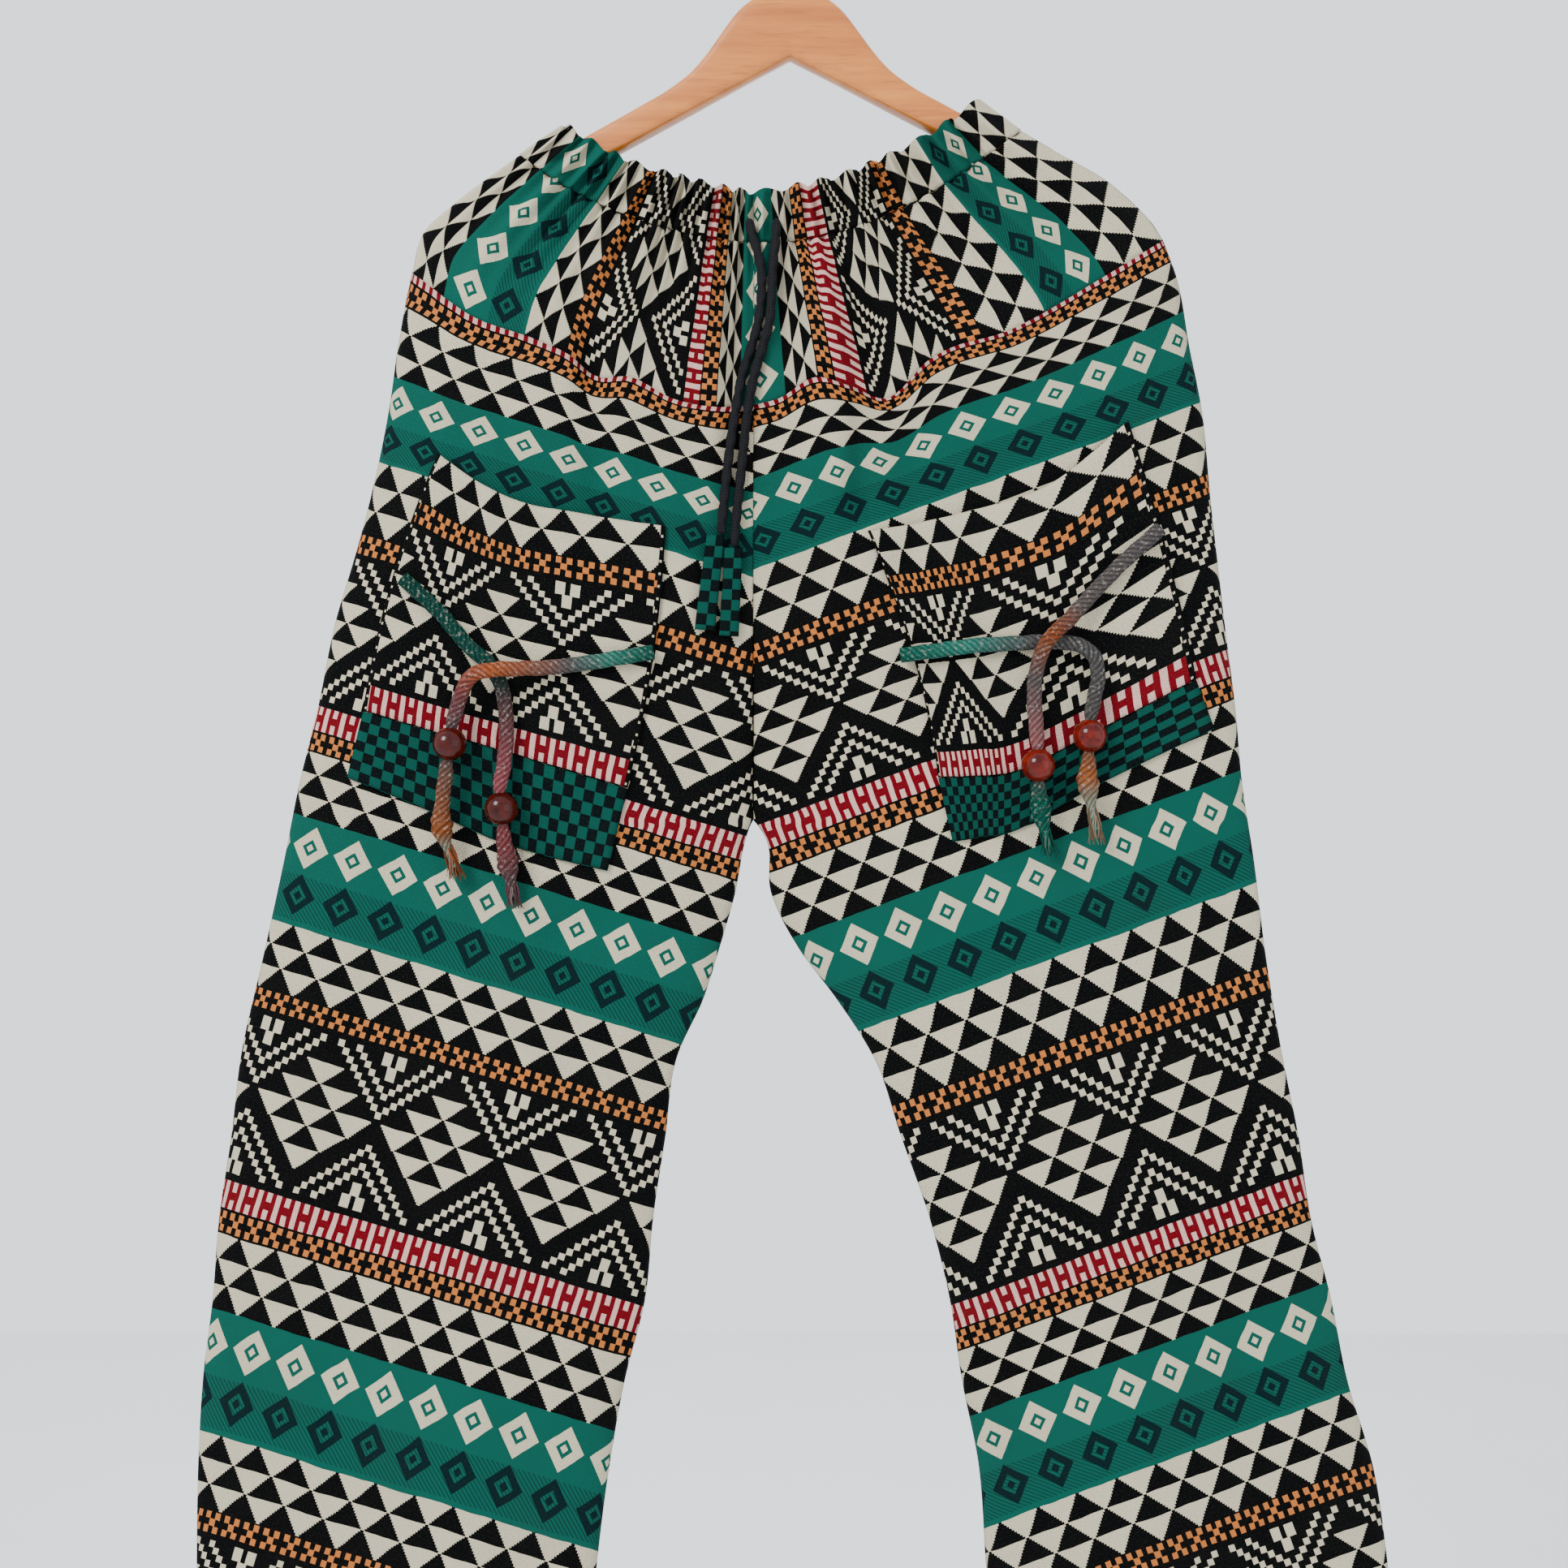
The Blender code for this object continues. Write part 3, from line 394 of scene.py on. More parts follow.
FOLDS = {  # each a soft ridge, or a trough where its depth is below 0, along a line on the cloth
    "front": table(
        "x0 drop0 x1 drop1 width depth",
        (-130, 148, -119, 238, 7, -7), (-119, 238, -114, 315, 10, -4), (-110, 168, -96, 238, 14, 4),
        (-58, 158, -43, 250, 14, 4), (-30, 170, -34, 285, 8, -4), (22, 150, 37, 285, 16, 8),
        (51, 168, 47, 312, 9, -6), (72, 155, 67, 220, 12, 4), (99, 155, 92, 225, 9, -4),
        (-10, 488, 72, 348, 14, -4), (-33, 478, -68, 325, 14, 3), (-197, 305, -178, 380, 10, -3),
        (-221, 203, -245, 322, 12, -3), (235, 218, 249, 352, 12, -3), (-3, 530, 117, 590, 14, -4),
        (-38, 530, -133, 575, 14, -3), (-163, 560, -203, 966, 30, 4), (-248, 575, -283, 966, 25, -3),
        (-73, 640, -103, 875, 16, -3), (182, 560, 227, 966, 30, 4), (267, 560, 302, 966, 22, -4),
        (40, 640, 97, 800, 16, -3),
    ),
    "back": table(
        "x0 drop0 x1 drop1 width depth",
        (-140, 160, -128, 300, 14, -4), (-60, 165, -66, 320, 16, 4), (15, 165, 30, 330, 16, 5),
        (95, 160, 88, 300, 14, -4), (-40, 490, -150, 420, 20, -4), (5, 490, 130, 400, 20, -4),
        (-175, 580, -215, 980, 30, 4), (-260, 600, -290, 1000, 26, -3), (190, 580, 235, 980, 30, 4),
        (280, 600, 318, 1000, 26, -3),
    ),
}


def smooth(rows, key, column, at):
    """The column as a smooth curve through the table's rows, read at these values of the key column."""
    xs, ys = rows[key], rows[column]
    slopes = np.gradient(ys, xs)
    i = np.clip(np.searchsorted(xs, at) - 1, 0, len(xs) - 2)
    step = xs[i + 1] - xs[i]
    t = np.clip((at - xs[i]) / step, 0, 1)
    rise = ys[i] * (2 * t**3 - 3 * t**2 + 1) + ys[i + 1] * (3 * t**2 - 2 * t**3)
    return rise + step * (slopes[i] * (t**3 - 2 * t**2 + t) + slopes[i + 1] * (t**3 - t**2))


def oval(share):
    """How much of the full depth the cloth has at this share of the way in from an edge, 0 to 1."""
    out = 1 - np.clip(share, 0, 1)
    return (1 - out**ROUNDNESS) ** (1 / ROUNDNESS)


def fold_relief(face, x, drop):
    """Sum of the soft ridges and troughs, each fading with the square of the distance from its line."""
    relief = np.zeros_like(x)
    rows = FOLDS[face]
    for x0, drop0, x1, drop1, width, depth in zip(*(rows[name] for name in rows)):
        length = math.hypot(x1 - x0, drop1 - drop0)
        along = ((x - x0) * (x1 - x0) + (drop - drop0) * (drop1 - drop0)) / length
        across = ((x - x0) * (drop1 - drop0) - (drop - drop0) * (x1 - x0)) / length
        past = np.maximum(0, np.abs(along - length / 2) - length / 2) / (1.5 * width)
        relief += depth * np.exp(-((across / width) ** 2) - past**2)
    return relief


def placed(x, depth, drop, face):
    """World points of places in the tables' millimetres; depth counts outwards from the side seams' plane.

    The front's places were read off as the eye sees them, so they close in on the middle of the view as they
    come nearer. That fades out down the legs, which keeps the hems level.
    """
    out = np.maximum(depth * MM, GAP / 2)
    if face == "back":
        return np.stack([SIDE_SHIFT + x * MM, out, NECK_LEVEL - drop * MM], axis=-1)
    nearer = 1 - out / VIEW * np.clip((VIEW_FADES[1] - drop) / (VIEW_FADES[1] - VIEW_FADES[0]), 0, 1)
    x, drop = x * nearer, VIEW_DROP + (drop - VIEW_DROP) * nearer
    return np.stack([SIDE_SHIFT + x * MM, -out, NECK_LEVEL - drop * MM], axis=-1)


def seam_line(side, face, share):
    """x and drop along the yoke seam, from the side (share 0) to the centre seam (share 1)."""
    end = SHOULDER[side]["x"][-1]
    x = end + (CENTRE - end) * share
    return x, smooth(YOKE_SEAM[face], "x", "drop", x)


def seam_depth(side, face, share):
    """Depth along the yoke seam, shared by the yoke above it and the leg panel below."""
    x, drop = seam_line(side, face, share)
    full, centre = FULLNESS["depth"][0], FULLNESS["centre"][0]
    open_side = centre + (1 - centre) * oval((1 - share) / RISE)
    return oval(share / RISE) * (full * open_side + fold_relief(face, x, drop))


def least_depth(level):
    """The centre seam keeps the front wall before the side seams' plane, also where it meets the crotch."""
    if level < CROTCH_LEVEL:
        return CLOTH / MM
    if level == CROTCH_LEVEL:
        return 0.8 * CLOTH / MM
    return 0.0


def leg_row(side, face, share, level):
    """One row of a leg panel: a line that starts as the yoke seam and settles to level lower down."""
    seam_drop = seam_line(side, face, share)[1]
    unsettled = np.clip(1 - (level - YOKE_LEVEL) / SETTLE, 0, 1) ** 2
    drop = level + (seam_drop - YOKE_LEVEL) * unsettled
    outer_x = smooth(OUTLINE, "drop", side, drop[0])
    hand = 1 if side == "left" else -1
    if level > CROTCH_LEVEL:
        inner_x = smooth(INSEAM, "drop", side, drop[-1])
    else:
        inner_x = CENTRE - hand * GAP / 2 / MM
    x = outer_x + (inner_x - outer_x) * share
    full = smooth(FULLNESS, "drop", "depth", level)
    centre = max(0.0, float(smooth(FULLNESS, "drop", "centre", level)))
    open_side = centre + (1 - centre) * oval((1 - share) / RISE)
    folds = fold_relief(face, x, drop) * np.minimum(1, open_side)
    depth = oval(share / RISE) * (full * open_side + folds)
    if level > CROTCH_LEVEL:
        depth[-1] = 0
    depth[-1] = max(depth[-1], least_depth(level) + GAP / MM / 2)
    return placed(x, depth, drop, face)


def yoke_grid(side, face, share):
    """Rows of a yoke piece, between the casing's lower edge, the shoulder's outline and the yoke seam."""
    across = share / 2 if side == "left" else 1 - share / 2
    top_x = smooth(CASING, "across", "low_x", across)
    top_drop = smooth(CASING, "across", "low_drop", across) + CASING_GAP / MM
    low_x, low_drop = seam_line(side, face, share)
    low_drop = low_drop - GAP / MM
    hand = 1 if side == "left" else -1
    rows = []
    for way in np.linspace(0, 1, YOKE_ROWS + 1):
        side_x = smooth(SHOULDER[side], "way", "x", way)
        side_drop = smooth(SHOULDER[side], "way", "drop", way)
        bow_x = side_x - ((1 - way) * top_x[0] + way * low_x[0])
        straight = (1 - way) * (top_drop[0] - CASING_GAP / MM) + way * (low_drop[0] + GAP / MM)
        bow_drop = side_drop - straight
        x = (1 - way) * top_x + way * low_x + bow_x * (1 - share) ** 2
        drop = (1 - way) * top_drop + way * low_drop + bow_drop * (1 - share) ** 2
        depth = (1 - way) * casing_depth(across, 1.0) + way * seam_depth(side, face, share)
        middle = 4 * way * (1 - way)
        swell = 2 + 0.6 * fold_relief(face, x, drop) + 0.5 * soft_folds(across)
        depth = depth + middle * oval(share / RISE) * swell
        x[-1] = CENTRE - hand * GAP / 2 / MM
        rows.append(placed(x, depth, drop, face))
    return np.array(rows)


def soft_folds(across):
    """Broad folds that hang from the gathers, a little uneven in spacing."""
    turn = 2 * FOLDS_HALF * across + 0.22 * np.sin(9 * across) + 0.12 * np.sin(23 * across)
    return FOLD_DEPTH * np.cos(2 * np.pi * turn)


def casing_depth(across, way):
    """Depth of the waist casing, from its top edge (way 0) to its lower edge (way 1), with its gathers."""
    share = np.minimum(across, 1 - across) * 2
    turn = RUFFLES * across + 0.3 * np.sin(17 * across) + 0.2 * np.sin(41 * across)
    ruffle = ((1 - way) * RUFFLE_DEPTH[0] + way * RUFFLE_DEPTH[1]) * np.cos(2 * np.pi * turn)
    body = (1 - way) * CASING_DEPTH[0] + way * CASING_DEPTH[1] + 0.6 * way * soft_folds(across)
    return oval(share / RISE) * (body + ruffle)


def srgb(*parts):
    """A colour given in the usual 0 to 255, as the light it stands for."""
    return tuple((part / 255) ** 2.2 for part in parts)


CREAM, BLACK = srgb(198, 188, 160), srgb(9, 10, 12)
TEAL, NAVY = srgb(12, 84, 72), srgb(7, 34, 36)
ORANGE, RED, PINK = srgb(188, 112, 58), srgb(108, 14, 26), srgb(212, 170, 158)
REPEAT = 319.0  # the bands of the weave come again after this many millimetres


def teeth(u, down):
    """Rows of triangles that point down, 15 mm high and 25 mm apart, each row shifted by half."""
    row = (down / 15.0).floor()
    step = ((down / 15.0).left() * 10.0).floor() / 10.0
    return abs((u / 25.0 + row * 0.5).left() - 0.5) < (1.0 - step) * 0.455


def woven(finish, u, v):
    """The jacquard's bands: teal with diamonds, triangles, small checks, a stepped zigzag and a red bar."""
    where = finish.node("CombineXYZ", (), {0: u, 1: v})
    wobble = finish.noise(where, 0.05) - 0.5
    u, v = u + wobble * 1.6, v + wobble * 2.2
    q = v.left(REPEAT)
    colour = finish.mixed(q.within(75.0, 120.0) * teeth(u, q - 75.0), BLACK, CREAM)
    colour = finish.mixed((q > 274.0) * teeth(u, q - 274.0), colour, CREAM)
    check = q - 121.0 - (q > 200.0) * 139.0
    middle = check.within(4.165, 8.33)
    dots = ((u / 6.5).left() < 0.52) * (1.0 - middle) + (((u + 3.25) / 13.0).left() < 0.29) * middle
    colour = finish.mixed(check.within(0.0, 12.5) * dots, colour, ORANGE)
    row = ((q - 133.5) / 4.135).floor()
    x = abs(((u / 79.5).left() - 0.5) * 21.0)
    gap = abs(row - 12.5) - 2.5 - (x + 0.5).floor()
    dotted = ((abs(gap) < 0.5) + (abs(gap - 3.0) < 0.5)) * row.within(0.5, 24.5)
    high = abs(row - 12.5)
    fork = x.within(0.4, 1.9) * high.within(9.5, 12.2) + (x < 0.75) * high.within(7.6, 9.6)
    wide = (10.5 - x) * 3.786
    tall = (q - 154.2) / 13.64
    count = 3.0 - abs(tall.floor() - 2.0)
    step = (tall.left() * 10.0).floor() / 10.0
    tooth = abs((wide / 25.0 + count * 0.5).left() - 0.5) < (1.0 - step) * 0.455
    cluster = tooth * (wide < count * 12.5) * tall.within(0.0, 5.0)
    zigzag = (dotted + fork + cluster) * q.within(133.5, 241.0)
    colour = finish.mixed(zigzag.eased(0.0, 0.5), colour, CREAM)
    along = (u / 12.0).left() * 12.0
    pale_bars = (along < 3.2) + along.within(6.0, 9.2) * (abs(q - 250.0) > 2.6)
    bar = q.within(241.5, 258.5)
    colour = finish.mixed(bar, colour, finish.mixed(pale_bars, RED, PINK))
    band = q < 75.0
    side = abs(((u / 28.5).left() - 0.5) * 28.5)
    light = (side / 12.4 + abs(q - 20.0) / 15.0) < 1.0
    heart = (side / 12.4 + abs(q - 20.0) / 15.0).within(0.2, 0.42)
    dark = (side / 11.6 + abs(q - 53.5) / 14.5) < 1.0
    dark_heart = (side / 11.6 + abs(q - 53.5) / 14.5).within(0.24, 0.5)
    hatch = (((u - q) / 3.2).left() < 0.4) * q.within(40.0, 71.5)
    ground_colour = finish.mixed(hatch * 0.55, TEAL, NAVY)
    ground_colour = finish.mixed(dark * (1.0 - dark_heart), ground_colour, NAVY)
    ground_colour = finish.mixed(light * (1.0 - heart), ground_colour, CREAM)
    colour = finish.mixed(band, colour, ground_colour)
    return colour, where


def wool(name, pattern):
    """Thick wool yarn over a pattern: each thread a little lighter or darker, raised in a fine weave."""
    finish = Finish(name, 0.95, Specular_IOR_Level=0.04)
    _, (u, v, _) = finish.place("cloth")
    colour, where = pattern(finish, u, v)
    flecks = finish.noise(where, 0.9, 3.0, 0.7)
    worn = finish.noise(where, 0.02, 3.0)
    colour = finish.mixed((flecks - 0.5).eased(0.0, 0.16) * 0.3, colour, srgb(52, 52, 48))
    colour = finish.mixed(worn.eased(0.45, 0.75) * 0.1, colour, srgb(40, 39, 36))
    threads = (u * (2 * math.pi / 1.5)).sine() * (v * (2 * math.pi / 1.3)).sine()
    colour = finish.mixed(threads.eased(0.1, 0.9) * 0.22, colour, srgb(40, 38, 34))
    return finish.dyed(colour, threads * 0.5 + flecks * 0.8, 0.0009, 0.8)


jacquard = wool("jacquard wool", woven)


def as_seen(grid, face):
    """x and drop in the tables' millimetres, for the front as the eye sees it."""
    x, drop = (grid[..., 0] - SIDE_SHIFT) / MM, (NECK_LEVEL - grid[..., 2]) / MM
    if face == "back":
        return x, drop
    nearer = 1 + grid[..., 1] / VIEW
    return x / nearer, VIEW_DROP + (drop - VIEW_DROP) / nearer


def sewn(name, grid, uv, face):
    """A sheet of the garment: the grid as its outer side, its thickness inwards, riding on the root, with the
    model's part of that name hidden.
    """
    piece = lofted(name, grid, jacquard, uv * MM, facing=(0, 1 if face == "back" else -1, 0))
    depth = piece.modifiers.new("thickness", "SOLIDIFY")
    depth.thickness = 0.0014
    depth.offset = -1
    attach(piece, "root")
    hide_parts(name.replace("cloth_", ""))
    return piece


# Where the bands of the weave lie: down each leg along a slanting line, and from side to side over the hips.
LEG_BANDS = {
    "left": (
        (0.956, -0.292), ((246, -65), (296, 0), (345, 75), (396.5, 127), (499, 241), (567, 319), (633.6, 394),
                          (687.4, 452.5), (794.3, 560), (873.3, 638), (947.3, 713), (1547.3, 1313)),
    ),
    "right": (
        (0.9367, 0.350), ((230, -65), (270, 0), (322, 75), (371, 127), (470, 241), (543, 319), (611, 394),
                          (662, 440), (789, 560), (857, 638), (925, 713), (1525, 1313)),
    ),
}
HIP_BANDS = np.array((
    (0, -45), (0.045, 0), (0.165, 75), (0.225, 120), (0.245, 133), (0.397, 241), (0.42, 259), (0.445, 272),
    (0.48, 319), (0.5, 333), (0.5001, 345), (0.54, 319), (0.578, 274), (0.6, 259), (0.64, 241), (0.755, 133),
    (0.78, 121), (0.857, 75), (0.93, 0), (1, -45),
))
BACK_BEHIND = 17.0  # the back's bands sit this much lower than the front's where they meet


def creases(x, drop, phase):
    """Millimetres of uneven soft creases: slow waves that run down the cloth and wander from side to side."""
    wander = 0.9 * np.sin(drop / 97 + phase) + 0.6 * np.sin(drop / 41 + 2.3 * phase)
    long = 1.1 * np.sin(x / 21 + wander + drop / 330) * (0.6 + 0.4 * np.sin(drop / 150 + x / 90 + phase))
    fine = 0.55 * np.sin(x / 7.5 - drop / 60 + 1.7 * wander) * (0.5 + 0.5 * np.sin(drop / 71 - x / 37))
    return long + fine


front_grids = {}
for face, hand_out in (("front", -1), ("back", 1)):
    for side, hand in (("left", 1), ("right", -1)):
        share = (1 - np.cos(np.linspace(0, math.pi, 91))) / 2
        share = 0.65 * share + 0.35 * np.linspace(0, 1, 91)
        levels = np.concatenate([np.linspace(249, 498, 63), (501.5, 505), np.linspace(509, 1121, 154)])
        grid = np.array([leg_row(side, face, share, level) for level in levels])
        x, drop = as_seen(grid, face)
        edge = np.minimum(share, 1 - share)[None] * 300
        below = (levels - levels[0])[:, None]
        soft = oval(share / 0.25)[None] * oval((1 - share) / 0.25)[None]
        dip = np.exp(-((edge / 3) ** 2)) + np.exp(-((below / 3) ** 2))
        hem = np.clip((levels - 1096)[:, None] / 3, 0, 1) * 0.7
        lift = creases(x, drop, 1.0 if side == "left" else 2.4) * soft * np.clip(below / 25, 0, 1)
        grid[..., 1] += hand_out * MM * (lift + hem - 0.8 * dip * soft)
        (down, across_slope), bands = LEG_BANDS[side]
        length = np.hypot(np.diff(grid[..., 0]), np.diff(grid[..., 1])) / MM
        reach = np.cumsum(length[:, ::-1], axis=1)[:, ::-1]
        from_seam = np.concatenate([reach, np.zeros((len(levels), 1))], 1)
        arc = x[:, -1:] - hand * from_seam
        s = down * drop + across_slope * x
        s = s + (bands[0][0] - s[:1]) * np.clip(1 - below / 70, 0, 1) ** 2
        v = np.interp(s, *np.array(bands).T) - (BACK_BEHIND if face == "back" else 0)
        u = down * arc - across_slope * drop
        sewn(
            f"cloth_leg_{face}_{side}", grid, np.stack([u, v], -1), face,
        )
        hips = yoke_grid(side, face, share)
        way = np.linspace(0, 1, YOKE_ROWS + 1)[:, None]
        across = share / 2 if side == "left" else 1 - share / 2
        turn = RUFFLES * across + 0.3 * np.sin(17 * across) + 0.2 * np.sin(41 * across)
        pulled = 2.6 * (1 - way) ** 1.1 * np.cos(2 * np.pi * turn)[None] * soft
        x, drop = as_seen(hips, face)
        hips[..., 1] += hand_out * MM * (
            pulled + 0.7 * creases(x, drop, 0.4) * soft * np.sin(math.pi * way)
            - 0.8 * np.exp(-(((1 - way) * 90 / 3) ** 2)) * soft
        )
        rise = np.linalg.norm(np.diff(hips, axis=0), axis=-1) / MM
        u = np.concatenate([np.cumsum(rise[::-1], axis=0)[::-1], np.zeros((1, len(share)))])
        v = np.broadcast_to(np.interp(across, *HIP_BANDS.T)[None], u.shape)
        sewn(
            f"cloth_yoke_{face}_{side}", hips, np.stack([-u, v], -1), face,
        )
        if face == "front":
            front_grids[side] = (hips, grid)

# The waist casing is a folded tube of the same cloth, drawn up tight by the cord inside it.
for face, hand_out in (("front", -1), ("back", 1)):
    across = np.linspace(0, 1, 721)
    rows = []
    top_x, top, low_x, low = (
        smooth(CASING, "across", column, across) for column in ("top_x", "top_drop", "low_x", "low_drop")
    )
    turn = RUFFLES * across + 0.3 * np.sin(17 * across) + 0.2 * np.sin(41 * across)
    for way in np.linspace(0, 1, 13):
        pinch = 2.3 * (0.35 + 0.65 * math.sin(math.pi * way)) * np.cos(2 * np.pi * turn + 0.5)
        small = 0.5 * np.cos(2 * np.pi * turn * 1.93 + 4 * way)
        depth = casing_depth(across, way) + (pinch + small) * oval(np.minimum(across, 1 - across) * 6)
        wave = 1.9 * (1 - way) ** 2 * np.sin(2 * np.pi * turn * 0.5 + 1)
        rows.append(placed((1 - way) * top_x + way * low_x, depth, (1 - way) * top + way * low + wave, face))
    grid = np.array(rows)
    v = np.broadcast_to(np.interp(across, *HIP_BANDS.T)[None], grid.shape[:2])
    u = np.broadcast_to(np.linspace(34, 0, 13)[:, None], v.shape)
    sewn(
        f"cloth_casing_{face}", grid, np.stack([-u - 110, v], -1), face,
    )


# Patch pockets of the same cloth lie on the legs, cut with the bands across. A strip of teal and navy check is
# sewn on along each pocket's lower edge.
POCKETS = {  # edges of each patch pocket and of the strip along its lower edge, as seen from the front
    "left": {
        "top": ((-213.5, 279), (-187.5, 297.5), (-160, 310), (-120, 317.5), (-72.5, 325)),
        "low": ((-261, 437.5), (-222, 449), (-181, 460.5), (-139, 473), (-97, 485.5)),
        "strip": ((-271.5, 479), (-227, 497), (-181, 517), (-146, 528), (-109.5, 537)),
        "bows": (-6, 4),
    },
    "right": {
        "top": ((51.5, 327), (80, 323), (113, 315.5), (163, 299), (212.5, 259)),
        "low": ((95.5, 479), (120, 478), (145.5, 474.5), (194.5, 450), (256, 418)),
        "strip": ((104.5, 519), (122, 516), (145.5, 511), (196, 483), (268, 448.5)),
        "bows": (6, 3),
    },
}
LIES_OFF = 0.0009


def seen(x, drop):
    """True place of a point on the front, which lies nearer to the eye than the side seams' plane."""
    nearer = 1 - FRONT_LIES / VIEW
    return x * nearer, VIEW_DROP + (drop - VIEW_DROP) * nearer


def surface_under(grids):
    """A function that gives the y of the outermost of these grids at a place on the front."""
    points, faces = [], []
    for grid in grids:
        rows, columns = grid.shape[:2]
        index = np.arange(rows * columns).reshape(rows, columns) + len(points)
        a, b, c, d = index[:-1, :-1], index[:-1, 1:], index[1:, 1:], index[1:, :-1]
        faces += np.stack([a, b, c], -1).reshape(-1, 3).tolist()
        faces += np.stack([a, c, d], -1).reshape(-1, 3).tolist()
        points += grid.reshape(-1, 3).tolist()
    tree = BVHTree.FromPolygons(points, faces)

    def height(x, z, reach=0.004):
        """The outermost y within "reach" of the place, so that what rests there clears the ridges near it."""
        found = []
        for dx, dz in ((0, 0), (reach, 0), (-reach, 0), (0, reach), (0, -reach)):
            hit = tree.ray_cast(Vector((x + dx, -0.2, z + dz)), Vector((0, 1, 0)))[0]
            if hit is not None:
                found.append(hit.y)
        return min(found)

    return height


def edge_points(edge, count):
    """Evenly shared points along an edge given by a few places."""
    rows = {"way": np.linspace(0, 1, len(edge)), "x": np.array(edge)[:, 0], "drop": np.array(edge)[:, 1]}
    at = np.linspace(0, 1, count)
    return np.stack([smooth(rows, "way", "x", at), smooth(rows, "way", "drop", at)], axis=-1)


def stitched(finish, u, v):
    """The jacquard with a dark sewn line down both sides of the pocket, and pale flecks of thread on it."""
    colour, where = woven(finish, u, v)
    edge = 85.0 - abs(u - 85.0)
    colour = finish.mixed(edge < 2.6, colour, BLACK)
    return finish.mixed(edge.within(1.0, 2.2) * ((v / 8.0).left() < 0.2), colour, CREAM), where


pocket_wool = wool("pocket wool", stitched)
height = surface_under([grid for pair in front_grids.values() for grid in pair])


def laid(upper, lower, bows, counts, standing, thick):
    """Outer points of a patch between two edges, resting on the outermost cloth under it."""
    columns, rows = counts
    share, way = np.linspace(0, 1, columns)[None, :, None], np.linspace(0, 1, rows)[:, None, None]
    place = (1 - way) * edge_points(upper, columns)[None] + way * edge_points(lower, columns)[None]
    bow = 4 * way * (1 - way) * (bows[0] * (1 - share) ** 2 + bows[1] * share**2)
    x, drop = seen(place[..., 0] + bow[..., 0], place[..., 1])
    px, pz = SIDE_SHIFT + x * MM, NECK_LEVEL - drop * MM
    y = np.vectorize(height)(px, pz) - LIES_OFF - thick
    edge = np.minimum(np.minimum(share, 1 - share) * columns, np.minimum(way, 1 - way) * rows)[..., 0]
    y = y - standing(share[..., 0], way[..., 0]) + 0.0008 * np.exp(-(edge**2))
    return np.stack([px, y, pz], -1)


def checked(finish, u, v):
    """Small squares of teal and navy, flecked."""
    where = finish.node("CombineXYZ", (), {0: u, 1: v})
    squares = abs((u / 6.5).floor() + (v / 6.5).floor()).left(2.0) > 0.5
    return finish.mixed(squares, srgb(6, 74, 64), srgb(8, 20, 22)), where


check = wool("teal and navy check", checked)


def patch(node, grid, uv, material, thick):
    piece = lofted("sewn_" + node, grid, material, uv * MM, facing=(0, -1, 0))
    depth = piece.modifiers.new("thickness", "SOLIDIFY")
    depth.thickness = thick
    depth.offset = -1
    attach(piece, "root")
    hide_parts(node)
    return piece


for side, edges in POCKETS.items():
    columns, rows = 61, 55
    grid = laid(
        edges["top"], edges["low"], edges["bows"], (columns, rows),
        lambda share, way: 0.0026 * np.sin(math.pi * share) * (1 - way) ** 2
        + 0.0012 * np.exp(-(((share - 0.33) * 25) ** 2)), 0.0017,
    )
    u = np.broadcast_to(np.linspace(0, 170, columns)[None], (rows, columns))
    v = np.broadcast_to(np.linspace(90, 259, rows)[:, None], (rows, columns))
    strip_flat = (0.172, 0.0505) if side == "left" else (0.17, 0.035)
    patch(f"pocket_{side}", grid, np.stack([u, v], -1), pocket_wool, 0.0015)
    columns, rows = 61, 15
    under = [(x, drop + 0.4) for x, drop in edges["low"]]
    grid = laid(under, edges["strip"], (0, 0), (columns, rows), lambda share, way: 0 * share, 0.0017)
    u = np.broadcast_to(np.linspace(0, 168, columns)[None], (rows, columns))
    v = np.broadcast_to(np.linspace(0, 46, rows)[:, None], (rows, columns))
    patch(f"pocket_strip_{side}", grid, np.stack([u, v], -1), check, 0.0015)


# The drawstring comes out at the centre front, and each free end has a folded tab of the check cloth.
TABS = {
    "left": (((-47.5, 329.8), (-36.5, 330.0)), ((-55, 388), (-42.5, 389))),
    "right": (((-36.6, 337.6), (-25.4, 337.6)), ((-40, 391.5), (-28, 392))),
}
for side, route in DRAWSTRINGS.items():
    cord, path, length = plaited(f"braid_{side}", route, BRAID, black_braid)
    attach(cord, "root")
    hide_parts(f"drawstring_{side}")
    grid = laid(*TABS[side], (0, 0), (13, 41), lambda share, way: 0.0005 * np.sin(math.pi * share), 0.0036)
    u = np.broadcast_to(np.linspace(0, 12, 13)[None], (41, 13))
    v = np.broadcast_to(np.linspace(0, 55, 41)[:, None], (41, 13))
    tab = patch(f"drawstring_tab_{side}", grid, np.stack([u, v], -1), check, 0.0034)


